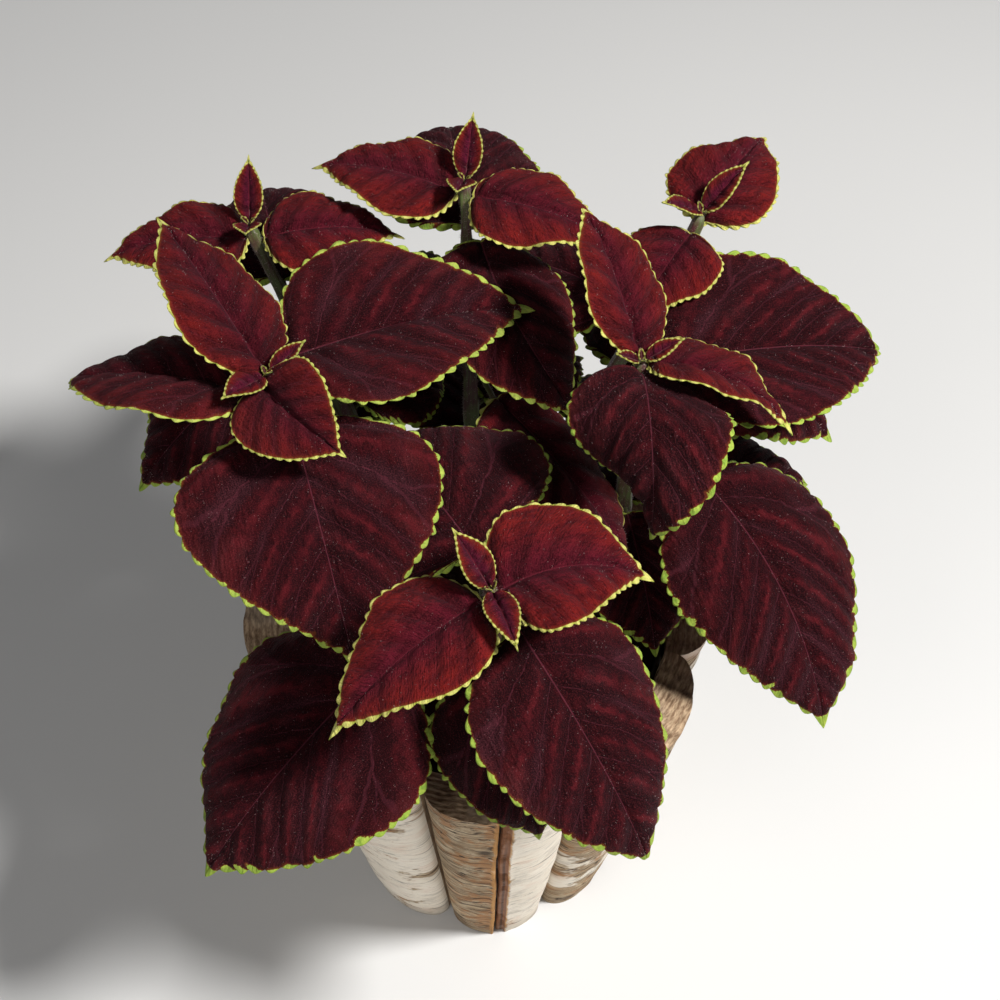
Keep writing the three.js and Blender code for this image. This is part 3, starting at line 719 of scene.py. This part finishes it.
# ---------- one leaf ----------
#
# The outline, midrib and arch are the CAD source's own; finer teeth, the pleats and unevenness, the
# thin edge and the hairs are added here.


def half_width(leaf, u):
    rise = lerp(*OUTLINE.rise, leaf.narrow) + OUTLINE.taper * leaf.taper
    fall = lerp(*OUTLINE.fall, leaf.narrow)
    peak = rise / (rise + fall)
    most = peak**rise * (1 - peak) ** fall
    return leaf.wide / 2 * u**rise * (1 - u) ** fall / most


def sweep(u):
    return SWEEP.most * (1 - u) * np.sqrt(u)


def midrib(leaf, start):
    """The midrib's points and the directions across it and up from it."""
    a = np.linspace(0, 1, STEPS + 1)
    turned = leaf.to + leaf.turn * a
    along = aim(turned, leaf.pitch - leaf.droop * a - leaf.curl * a**4)
    level = heading(turned - 90)
    upright = np.cross(level, along)
    roll = np.radians(leaf.roll + leaf.twist * a)[:, None]
    side = level * np.cos(roll) + upright * np.sin(roll)
    up = upright * np.cos(roll) - level * np.sin(roll)
    steps = along[:-1] * leaf.long / STEPS
    at = start + np.vstack([np.zeros(3), np.cumsum(steps, axis=0)])
    return at, side, up


def along_rib(rib, a):
    """Midrib points and directions at any shares of its length."""
    place = np.clip(a, 0, 1) * STEPS
    stations = np.arange(STEPS + 1)
    made = []
    for values in rib:
        made.append(triple(*(np.interp(place, stations, values[:, k]) for k in range(3))))
    at, side, up = made
    return at, unit(side), unit(up)


def blade_points(leaf, rib, u, v, tooth, lift):
    """Points of the blade, lifted along the way its upper face looks, and that way itself."""
    across = np.abs(v)
    sign = np.sign(v)
    long = leaf.long
    at, side, up = along_rib(rib, u + sweep(u) * across ** SWEEP.bend)
    left = (1 - u) * long
    row = u[:, 0]
    slope = np.gradient(half_width(leaf, row), long * (row + sweep(row)))[:, None]
    square = 1 / np.sqrt(1 + slope**2)
    waist = 1 - 0.62 * np.exp(-left / (1.6 + 0.03 * long))
    out = across * (half_width(leaf, u) + tooth * square) * waist
    lean = np.radians(leaf.fold - leaf.cup * across / 2)
    turns = RIPPLE.turns * u + RIPPLE.by_heading * leaf.to + RIPPLE.by_side * sign
    ripple = leaf.wave * across**2 * np.sin(2 * np.pi * turns) * np.sin(np.pi * u)
    tilt = np.radians(leaf.fold - leaf.cup * across)
    face = up * np.cos(tilt)[..., None] - side * (sign * np.sin(tilt))[..., None]
    # the tip bends down a little, less where the CAD's box is near
    room = min((rib[0][-1] - BOX[0]).min(), (BOX[1] - rib[0][-1]).min())
    drip = min(DRIP, long * 0.09, max(room - 1, 0)) * np.exp(-left / (1.2 + 0.015 * long))
    drip -= 1.6 * np.exp(-left / (1 + 0.08 * long)) + tooth * slope * square
    point = at + side * (sign * out * np.cos(lean))[..., None] + np.cross(up, side) * drip[..., None]
    point = point + up * (out * np.sin(lean) + ripple)[..., None]
    return point + face * lift[..., None], face


def margin_teeth(leaf, draw):
    """Teeth on each side of the margin, their mean length, and u at even steps along each tooth."""
    us = (np.arange(241) / 240) ** 2
    x = leaf.long * (us + sweep(us))
    run = np.concatenate([[0], np.cumsum(np.hypot(np.diff(x), np.diff(half_width(leaf, us))))])
    grown = float(smooth(leaf.long, 15, 105))
    teeth = round(run[-1] / lerp(TOOTH.bud, TOOTH.adult, grown))
    ends = np.arange(teeth + 1.0)
    ends[1:-1] += draw.uniform(-TOOTH.uneven, TOOTH.uneven, teeth - 1)
    numbers = np.arange(teeth * TOOTH.steps + 1) / TOOTH.steps
    passed = np.interp(numbers, np.arange(teeth + 1), ends) * run[-1] / teeth
    return teeth, run[-1] / teeth, np.interp(passed, run, us)


def side_veins(leaf, age, along, out, across):
    """Counts side veins from the base, a whole number on each, and gives the gap between them.

    They leave the midrib almost square to it at the base, and slope forward further on.
    """
    veins = 4 + leaf.long * 0.03
    a = along / leaf.long
    o = out / leaf.long * (0.82 + 0.36 * across)
    low = np.full_like(a, -0.4)
    high = np.ones_like(a)
    for _ in range(22):
        t = (low + high) / 2
        slope = lerp(0.22, lerp(0.35, 1.3, age), smooth(t, 0.0, 0.22))
        beyond = t + slope * o > a
        high = np.where(beyond, t, high)
        low = np.where(beyond, low, t)
    index = veins * np.sign(t) * np.abs(t) ** 0.8 - 0.25
    gap = leaf.long / (veins * 0.8 * np.maximum(np.abs(t), 0.03) ** -0.2 * np.sqrt(1 + slope**2))
    return index, gap


ACROSS_FINE = np.array([0, 0.02, 0.045, 0.08, 0.13, 0.19, 0.26, 0.33, 0.40, 0.47, 0.54, 0.61, 0.68,
                        0.75, 0.81, 0.87, 0.92, 0.96, 0.985, 1])
ACROSS_SMALL = np.array([0, 0.05, 0.14, 0.28, 0.43, 0.58, 0.72, 0.85, 0.95, 1])


def add_blade(build, leaf, rib, age, seed):
    """A leaf's blade with its teeth, pleats and hairs; its age goes from 0 at the tip of a shoot to 1, and
    a few leaves are given other ages for painted light and shade.
    """
    long = leaf.long
    small = long < SMALL_LEAF
    draw = np.random.default_rng(int(seed * 1000))
    teeth, tooth_long, u = margin_teeth(leaf, draw)
    half = ACROSS_SMALL if small else ACROSS_FINE
    v = np.concatenate([-half[:0:-1], half])
    uu, vv = np.meshgrid(u, v, indexing="ij")
    across = np.abs(vv)
    right = vv > 0
    # teeth: rounded, with a sharp notch, and not quite alike
    jitter = draw.uniform(0.55, 1.25, (2, teeth + 1))
    phase = np.arange(len(u)) / TOOTH.steps
    number = np.minimum(phase.astype(int), teeth - 1)
    crest = np.sin(np.pi * (phase % 1) ** TOOTH.lean) ** 0.8
    crest *= tooth_long * TOOTH.depth * (0.6 if small else 1)
    right_teeth, left_teeth = crest * jitter[:, number]
    tooth = np.where(right, right_teeth[:, None], left_teeth[:, None])
    tooth *= across**6
    # pleats between the side veins, a groove over the midrib, and unevenness of three sizes
    out = across * half_width(leaf, uu)
    along = long * (uu + sweep(uu) * across ** SWEEP.bend)
    index, gap = side_veins(leaf, age, along, out, across)
    index = index + 0.18 * right
    flat = triple(along, np.sign(vv) * out, seed * SEED_STEP)
    off = index - np.round(index)
    shape = smooth(across, 0.02, 0.22) * (1 - 0.75 * smooth(across, 0.72, 1.0)) * (1 - uu) ** 0.35
    pads = np.abs(np.sin(np.pi * off)) ** 0.85
    uneven = 1 + 0.35 * rough(flat / [14, 9, 1], seed + 7)
    young_pleat = 0.12 + 0.21 * (1 - smooth(along / long, 0.08, 0.48))
    lift = pads * shape * uneven * gap * lerp(young_pleat, 0.30, min(age, 1))
    lift -= np.exp(-((out / 1.6) ** 2)) * 0.5 * (1 - uu) ** 0.6
    body = smooth(uu, 0.0, 0.15)
    waves = ((19, lerp(0.5, 1.1, age), 10, 0), (5.5, 0.42, 6, 3), (2.4, 0.16, 4, 5))
    for size, height, free, key in waves:
        lift += rough(flat / [size, size, 1], seed + key) * height * smooth(out, 1.0, free) * body
    lift -= leaf.settle * smooth(uu, 0.1, 0.5)
    for u_dent, v_dent, depth in leaf.dents:
        dent = np.exp(-(((uu - u_dent) / 0.16) ** 2) - ((vv - v_dent) / 0.45) ** 2)
        lift -= depth * dent * smooth(out, 1.0, 8.0)
    top, face = blade_points(leaf, rib, uu, vv, tooth, lift)
    slope = np.gradient(half_width(leaf, u), long * u)
    steep = 1 / np.sqrt(1 + slope**2)
    edge = (1 - across) * (half_width(leaf, uu) + tooth) * steep[:, None]
    values = dict(
        vein=triple(index, across, out),
        rim=triple(edge, phase[:, None], uu),
        leaf=triple(age, seed * SEED_STEP, gap),
        flat=flat + np.array([970, 431, 0]) * seed,
    )
    # the under face hangs below the lowest upper point nearby, so that no pleat comes through it
    rows, columns = uu.shape
    padded = np.pad(lift, 2, mode="edge")
    low = np.min([padded[i:i + rows, j:j + columns] for i in range(5) for j in range(5)], axis=0)
    thick = lerp(0.60, 0.4, across) + (lift - low) * (1 - across**4)
    under = top - face * thick[..., None]
    all_columns = np.arange(columns)
    under_picked = all_columns if small else np.unique([*every(2, columns), columns // 2])
    top_start = add_face(build, top, all_columns, values, 0)
    under_start = add_face(build, under, under_picked, values, 1)
    under_columns = len(under_picked)
    count = int(long * leaf.wide * HAIR.on_leaf)
    picked_rows = draw.uniform(0.06 * rows, 0.97 * rows, count)
    picked_columns = draw.uniform(0.5, columns - 1.5, count)
    # the thin wall round the margin
    wall = []
    for side, flip in ((0, False), (1, True)):
        for r in range(rows - 3):
            a = top_start + r * columns + side * (columns - 1)
            b = under_start + r * under_columns + side * (under_columns - 1)
            quad = (a, a + columns, b + under_columns, b)
            wall.append(quad[::-1] if flip else quad)
    build.faces += wall
    build.slots += [0] * len(wall)
    roots, ways = (pick(grid, picked_rows, picked_columns) for grid in (top, face))
    add_hairs(build, roots, ways, HAIR.leaf, age, draw)


def add_face(build, points, picked, values, slot):
    """One face of a blade over the picked columns, whose base and tip are each one point.

    Slot 1 is the under face and looks down. Gives the number of the face's first point.
    """
    def gather(grid):
        return np.concatenate([grid[1:-1, picked].reshape(-1, 3), grid[[0, -1], [0, 0]]])

    start = build.count
    rows, n = len(points) - 2, len(picked)
    base, tip = rows * n, rows * n + 1
    faces = grid_faces(rows, n, flip=slot == 1)
    for c in range(n - 1):
        ends = [(base, c + 1, c), (base - n + c, base - n + c + 1, tip)]
        faces += [face[::-1] for face in ends] if slot == 1 else ends
    build.add(gather(points), faces, slot, **{name: gather(grid) for name, grid in values.items()})
    return start


def add_hairs(build, roots, ways, long, age, draw):
    """Fine straight hairs that stand on roots, each a three-sided spike."""
    count = len(roots)
    ways = unit(ways + draw.normal(0, 0.35, (count, 3)))
    first = unit(np.cross(ways, (0.3, 0.5, 0.8)))
    second = np.cross(ways, first)
    corners = []
    for turn in np.radians((0, 120, 240)):
        corners.append(roots + (first * np.cos(turn) + second * np.sin(turn)) * HAIR.thick)
    corners.append(roots + ways * (long * draw.uniform(0.6, 1.2, count))[:, None])
    points = np.stack(corners, 1)
    faces = []
    for k in range(count):
        faces += [(4 * k + a, 4 * k + b, 4 * k + 3) for a, b in ((0, 1), (1, 2), (2, 0))]
    flat = np.zeros((count, 4, 3))
    flat[:, 3, 0] = 1
    kind = triple(age, np.repeat(draw.uniform(0, 1, (count, 1)), 4, 1), 0)
    build.add(points, faces, 3, flat=flat, leaf=kind)


def pick(grid, rows, columns):
    """Points between the corners of a grid, at rows and columns that needn't be whole."""
    r, c = rows.astype(int), columns.astype(int)
    part_r, part_c = (rows - r)[:, None], (columns - c)[:, None]
    low = lerp(grid[r, c], grid[r, c + 1], part_c)
    high = lerp(grid[r + 1, c], grid[r + 1, c + 1], part_c)
    return lerp(low, high, part_r)


def add_rod(build, points, halves, section, age, seed, square=0.0, covered=0.0):
    """A stalk or stem along points: square is 0 for round to 1 for a square stem.

    covered says how far each point lies under a leaf, where it is a midrib and has no hairs.
    """
    points = np.asarray(points, float)
    tangent = unit(np.gradient(points, axis=0))
    side = np.cross((0, 1, 0), tangent[0])
    if np.linalg.norm(side) < 0.5:
        side = np.array([1.0, 0, 0])
    turn = np.linspace(0, 2 * np.pi, section, endpoint=False)
    power = lerp(2, 5, square)
    shape = (np.abs(np.cos(turn)) ** power + np.abs(np.sin(turn)) ** power) ** (-1 / power)
    shape *= 1 - 0.05 * square * np.cos(4 * turn)
    rings = []
    for point, along, half in zip(points, tangent, halves):
        side = side - along * np.dot(side, along)
        side /= np.linalg.norm(side)
        up = np.cross(along, side)
        spoke = np.outer(np.cos(turn) * shape, side) + np.outer(np.sin(turn) * shape, up)
        rings.append(point + spoke * half)
    rings = np.array(rings)
    length = np.concatenate([[0], np.cumsum(np.linalg.norm(np.diff(points, axis=0), axis=1))])
    flat = triple(np.repeat(length, section), np.tile(np.cos(turn) * 4, len(points)), seed * SEED_STEP)
    faces = grid_faces(len(points), section, wrap=True)
    ends = len(points) * section
    for c in range(section):
        after = (c + 1) % section
        faces.append((ends, after, c))
        faces.append((ends + 1, ends - section + c, ends - section + after))
    both = np.concatenate([rings.reshape(-1, 3), points[[0, -1]]])
    flat = np.concatenate([flat, flat[[0, -1]]])
    cover = np.repeat(np.broadcast_to(covered, len(points)), section)
    cover = np.concatenate([cover, cover[[0, -1]]])
    build.add(both, faces, 2, flat=flat, leaf=(age, seed * SEED_STEP, 1), rim=triple(0, 0, cover))
    draw = np.random.default_rng(int(seed * 1000) + 7)
    open_rows = len(points) if np.ndim(covered) == 0 else 5
    count = int(length[open_rows - 1] * halves[0] * 2 * HAIR.on_stem)
    around = np.concatenate([rings, rings[:, :1]], axis=1)
    rows = draw.uniform(0, open_rows - 1.001, count)
    columns = draw.uniform(0, section - 0.001, count)
    roots = pick(around, rows, columns)
    core = pick(np.repeat(points[:, None], section + 1, axis=1), rows, columns)
    add_hairs(build, roots, (roots - core) / halves[0], HAIR.stem, age, draw)


# ---------- one leafy shoot ----------


def stem_curve(foot, tip):
    """Points along the stem from the soil to its growing tip, and their shares of the curve."""
    low = SOIL_TOP + STEM.upright
    corners = np.array([
        (*foot, low),
        (*foot, lerp(low, tip[2], 0.45)),
        (lerp(foot[0], tip[0], 0.75), lerp(foot[1], tip[1], 0.75), lerp(low, tip[2], 0.7)),
        tip,
    ])
    t = np.linspace(0, 1, 101)
    weights = np.stack([(1 - t) ** 3, 3 * t * (1 - t) ** 2, 3 * t**2 * (1 - t), t**3], -1)
    return weights @ corners, t


def stem_half(share):
    return lerp(STEM.foot, STEM.tip, share) / 2


def add_leaf(build, curve, shares, leaf, seed):
    """A blade and the stalk that carries it, which goes on under the blade as its midrib."""
    share = np.interp(leaf.z, curve[:, 2], shares)
    held = min(share, 0.985)
    origin = np.array([np.interp(held, shares, curve[:, k]) for k in range(3)])
    stalk_way = aim(leaf.stalk_to, leaf.pitch + STALK.rise)
    start = origin + stalk_way * (stem_half(share) + leaf.petiole)
    rib = midrib(leaf, start)
    age = leaf.age
    if age is None:
        age = float(np.clip((curve[-1, 2] - leaf.z) / 45, 0, 1) ** 0.7)
    add_blade(build, leaf, rib, age, seed)
    thin = min(max(leaf.long * STALK.share, STALK.least), STALK.most)
    reach = np.array([0.0, 0.05, 0.11, 0.18, 0.27, 0.38, 0.50, 0.63, 0.76, 0.88])
    at, _, up = along_rib(rib, reach)
    thinning = thin * lerp(0.95, 0.25, reach)
    under_rib = at - up * (thinning + 0.8 * min(1, leaf.long / 60))[:, None]
    between = [lerp(origin, under_rib[0], s) for s in (0, 0.25, 0.5, 0.75)]
    halves = [min(stem_half(share) * 0.8, thin * 1.35), thin * 1.15, thin, thin * 0.98, *thinning]
    covered = [0, 0, 0, 0, *smooth(reach, -0.02, 0.08)]
    add_rod(build, np.concatenate([between, under_rib]), halves, 10, age, seed, covered=covered)


def make_shoot(number, name, foot, tip, leaves):
    build = Build("vein", "rim", "leaf", "flat")
    curve, shares = stem_curve(foot, tip)
    rooted = np.array([(*foot, z) for z in np.linspace(SOIL_TOP - 12, curve[0, 2] - 3, 6)])
    spine = np.concatenate([rooted, curve[::3]])
    share = np.concatenate([np.zeros(len(rooted)), shares[::3]])
    halves = stem_half(share)
    for leaf in leaves:
        halves = halves * (1 + 0.16 * np.exp(-(((spine[:, 2] - leaf.z) / 3.5) ** 2)))
    halves[-1] *= 0.5
    add_rod(build, spine, halves, 20, 0.5, number + 0.5, square=1.0)
    for k, leaf in enumerate(leaves):
        add_leaf(build, curve, shares, leaf, number * 0.131 + k * 0.0173 + 0.05)
    # the next pair, just unfolding between the last
    last = leaves[0].to
    for k, (turn, long) in enumerate(((90, 5.5), (-90, 4.5))):
        unfolding = bud(tip[2], last + turn, long, long * 0.5, pitch=62, fold=40)
        add_leaf(build, curve, shares, unfolding, number * 0.131 + k * 0.007 + 0.9)
    dress(build, name, "leaf", "upper", "under", "stem", "hair")


for number, shoot in enumerate(SHOOTS):
    make_shoot(number, *shoot)

# ---------- the pot ----------


def bark_radius(z):
    return lerp(POT.foot, POT.rim, z / POT.height)


def bark_scale(z):
    return bark_radius(z) / POT.rim


def liner_radius(z):
    return bark_radius(z) - POT.crown * bark_scale(z) - GAP


def make_slab(index):
    """One half-round birch slab, with its bark, its split back, its sawn ends and its edges."""
    middle = POT.first + 360 / POT.slabs * index
    half = 180 / POT.slabs * POT.share
    height = POT.height + POT.ragged * (2 * chance(index + 5) - 1) * (1 if index else 0.4)
    tilt = 0.12 * (chance(index + 40) - 0.5)
    seed = index + 1.0
    half_across = np.array([0, 0.012, 0.024, 0.036, 0.05, 0.065, 0.085, 0.11, 0.14, 0.18, 0.22, 0.27,
                            0.32, 0.38, 0.44, 0.50, 0.56, 0.62, 0.68, 0.74, 0.80, 0.855, 0.90, 0.94, 0.97,
                            0.99, 1])
    across = np.concatenate([-half_across[:0:-1], half_across])
    rows, columns = SLAB_ROWS, len(across)
    uu, aa = np.meshgrid(np.linspace(0, 1, rows), across, indexing="ij")
    turn = half * aa
    # the sawn top isn't quite level, and its bark edge is a little chipped
    chips = rough(triple(aa * 9, 0, seed), seed)
    top = height + tilt * turn + 0.9 * chips * (1 + (index == 0) * 1.6 * smooth(-aa, -0.1, 0.2))
    z = uu * top
    scale = bark_scale(z)
    inner = liner_radius(z) + 2 * GAP
    bulge = np.sqrt(1 - aa**2 * 0.999)
    outer = inner + scale * lerp(POT.edge, POT.crown, bulge)
    arc = np.radians(turn) * outer
    sheet = triple(arc / 22, z / 34, seed * 9)
    relief = rough(sheet, seed) * 0.9 + rough(sheet * 3.1, seed + 4) * 0.35
    relief += rough(triple(arc / 40, z / 4.5, seed * 5), seed + 8) * 0.22
    relief *= smooth(1 - np.abs(aa), 0.0, 0.08)
    split = 99.0  # the distance to the right of the long split, which only the front slab has
    if index == 0:
        split = arc - (0.4 * np.sin(z / 30) + 0.2 * rough(triple(z / 9, 0, 0), 3))
        strip = smooth(split, -2.9, -2.4) * smooth(-split, -2.8, -2.3)
        slit = np.exp(-(((split + 2.0) / 0.55) ** 2))
        relief -= (CRACK.strip * strip + CRACK.slit * slit) * scale
        left_lip = 0.8 * np.exp(-(((split + 3.7) / 1.0) ** 2))
        right_lip = 0.5 * np.exp(-(((split - 3.3) / 0.8) ** 2))
        relief += left_lip + right_lip
    outer = outer + relief
    rings = heading(middle + turn)
    bark = rings * outer[..., None] + triple(0, 0, z)
    back = rings * inner[..., None] + triple(0, 0, z)
    build = Build("bark", "slab")
    kind = triple(seed if index else 0.2, BROWN[index], top - z)
    build.add(bark, grid_faces(rows, columns), 0, bark=triple(arc, z, split), slab=kind)
    some_rows, some_columns = every(10, rows), every(3, columns)
    coarse = np.ix_(some_rows, some_columns)
    build.add(back[coarse], grid_faces(len(some_rows), len(some_columns), flip=True), 1,
              bark=triple(arc, z, 0)[coarse], slab=(seed, 0, 0))
    shares = np.linspace(0, 1, 9)
    for row, flip in ((-1, False), (0, True)):
        cap = lerp(bark[row][None], back[row][None], shares[:, None, None])
        thick = (outer - inner)[row][None] * (1 - shares[:, None])
        place = triple(arc[row], cap[..., 2], thick)
        build.add(cap, grid_faces(len(shares), columns, flip=flip), 1, bark=place, slab=(seed, 0, 1))
    shares = np.linspace(0, 1, 4)
    for column, flip in ((0, True), (-1, False)):
        edge = lerp(bark[:, column][:, None], back[:, column][:, None], shares[None, :, None])
        place = triple(np.linspace(0, 4, 4), z[:, column][:, None], 0)
        build.add(edge, grid_faces(rows, 4, flip=flip), 1, bark=place, slab=(seed, 0, 0))
    dress(build, f"birch_slab_{index + 1}", "birch", "bark", "wood")


for index in range(POT.slabs):
    make_slab(index)


def make_liner():
    """The tapered dark liner, with a soft rolled rim."""
    rim = POT.height - LINER.below
    wall = LINER.wall
    out = liner_radius
    profile = [(0.01, 0), (out(0) * 0.5, 0), (out(0) - 1.2, 0), (out(0) - 0.3, 0.3), (out(1.2), 1.2)]
    profile += [(out(z), z) for z in np.linspace(12, rim - 4, 14)]
    profile += [(out(rim - 1.2), rim - 1.2), (out(rim) - 0.35, rim - 0.3), (out(rim) - 1.1, rim)]
    profile += [(out(rim) - wall + 0.35, rim - 0.3), (out(rim - 1.2) - wall, rim - 1.2)]
    profile += [(out(z) - wall, z) for z in np.linspace(rim - 6, SOIL_TOP - 24, 4)]
    spokes = heading(np.linspace(0, 360, LINER_SEGMENTS, endpoint=False))
    rings = [spokes * r + np.array([0, 0, z]) for r, z in profile]
    build = Build()
    build.add(np.concatenate(rings), grid_faces(len(profile), LINER_SEGMENTS, wrap=True))
    dress(build, "liner", "liner", "liner")


def make_soil():
    """Uneven potting soil, heaped a little round each stem, with loose crumbs on it."""
    edge = liner_radius(SOIL_TOP) - LINER.wall - GAP
    share = np.linspace(0.001, 1, SOIL_RINGS) ** 0.8
    turn = np.linspace(0, 360, SOIL_SEGMENTS, endpoint=False)
    flat = heading(turn)[None] * (share * edge)[:, None, None]
    x, y = flat[..., 0], flat[..., 1]

    def top_at(x, y):
        z = SOIL.bump * np.sin(x * 0.13 + 1) * np.cos(y * 0.16)
        z = z * smooth(edge - np.hypot(x, y), 0, 12)
        place = triple(x, y, 0)
        for size, key, height in ((7, 2, 1.0), (2.6, 5, 0.7), (1.3, 9, 0.3)):
            z = z + rough(place / size, key) * height
        for _, foot, _, _ in SHOOTS:
            away = np.hypot(x - foot[0], y - foot[1])
            z = z + 2.2 * np.exp(-((away / 9) ** 2))
        return SOIL_TOP + z - 0.6

    flat[..., 2] = top_at(x, y)
    skirt = flat[-1:].copy()
    skirt[..., 2] = SOIL_TOP - 22
    build = Build()
    build.add(np.concatenate([flat, skirt]), grid_faces(SOIL_RINGS + 1, SOIL_SEGMENTS, wrap=True))
    corners, faces = crumb_shape()
    draw = np.random.default_rng(11)
    for _ in range(CRUMBS):
        radius = edge * math.sqrt(draw.uniform(0, 0.97))
        angle = draw.uniform(0, 2 * math.pi)
        cx, cy = radius * math.cos(angle), radius * math.sin(angle)
        size = draw.uniform(0.5, 1.9) * draw.uniform(0.6, 1.0)
        shape = corners * draw.uniform(0.6, 1.25, corners.shape) * size * draw.uniform(0.6, 1.3, 3)
        lift = top_at(np.array(cx), np.array(cy)) + size * 0.25
        build.add(shape + np.array([cx, cy, lift]), faces)
    dress(build, "soil", "soil", "soil")


def crumb_shape():
    """A twelve-cornered lump."""
    golden = (1 + math.sqrt(5)) / 2
    corners = []
    for a, b in itertools.product((-1, 1), (-golden, golden)):
        corners += [(0, a, b), (a, b, 0), (b, 0, a)]
    corners = np.array(corners, float) / math.hypot(1, golden)
    faces = []
    for trio in itertools.combinations(range(12), 3):
        p, q, r = corners[list(trio)]
        if max(np.linalg.norm(p - q), np.linalg.norm(q - r), np.linalg.norm(r - p)) < 1.2:
            outward = np.dot(np.cross(q - p, r - p), p) > 0
            faces.append(trio if outward else trio[::-1])
    return corners, faces


make_liner()
make_soil()

# ---------- floor, light and camera, in metres unless it is said otherwise ----------

FLOOR = Named(half_mm=4000, color=(0.68, 0.67, 0.65))
LIT_POINT = (0, 0, 0.26)
LIGHTS = (  # name, place, diameter and watts
    ("key", (0.75, -0.25, 1.45), 0.24, 33),
    ("low", (0.25, -1.5, 0.35), 0.8, 4),
    ("left", (-0.6, -0.7, 1.3), 0.6, 4),
)
SKY = Named(color=(0.90, 0.93, 1.0, 1), strength=0.10)
CAMERA = Named(aim=(0.008, 0.009, 0.27), away=0.65, degrees_up=55, sensor_mm=36.0, lens_mm=58.5)


def make_floor():
    build = Build()
    half = FLOOR.half_mm
    build.add([(-half, -half, 0), (half, -half, 0), (half, half, 0), (-half, half, 0)], [(0, 1, 2, 3)])
    pale = Shader("pale_floor").finish(FLOOR.color, 0.85, 0.2)
    floor = build.make("floor", [pale], inside=(-math.inf, math.inf))


def add_light(name, place, size, energy):
    """A round lamp that looks at the plant and isn't seen itself."""
    data = bpy.data.lights.new(name, "AREA")
    data.shape = "DISK"
    data.size = size
    data.energy = energy
    light = bpy.data.objects.new(name, data)
    bpy.context.scene.collection.objects.link(light)
    light.location = place
    light.visible_camera = False
    way = np.array(LIT_POINT) - np.array(place)
    pitch = math.atan2(math.hypot(way[0], way[1]), -way[2])
    light.rotation_euler = (pitch, 0, math.atan2(-way[0], way[1]))


def add_world():
    world = bpy.data.worlds.new("studio")
    world.use_nodes = True
    background = world.node_tree.nodes["Background"]
    background.inputs["Color"].default_value = SKY.color
    background.inputs["Strength"].default_value = SKY.strength
    bpy.context.scene.world = world


def add_camera():
    """Looks at the plant from the front and above, as a person standing over it does."""
    data = bpy.data.cameras.new("camera")
    data.sensor_width = CAMERA.sensor_mm
    data.lens = CAMERA.lens_mm
    camera = bpy.data.objects.new("camera", data)
    bpy.context.scene.collection.objects.link(camera)
    up = math.radians(CAMERA.degrees_up)
    x, y, z = CAMERA.aim
    camera.location = (x, y - CAMERA.away * math.cos(up), z + CAMERA.away * math.sin(up))
    camera.rotation_euler = (math.radians(90) - up, 0, 0)
    bpy.context.scene.camera = camera


make_floor()
for light in LIGHTS:
    add_light(*light)
add_world()
add_camera()
bpy.context.scene.view_settings.view_transform = "Standard"
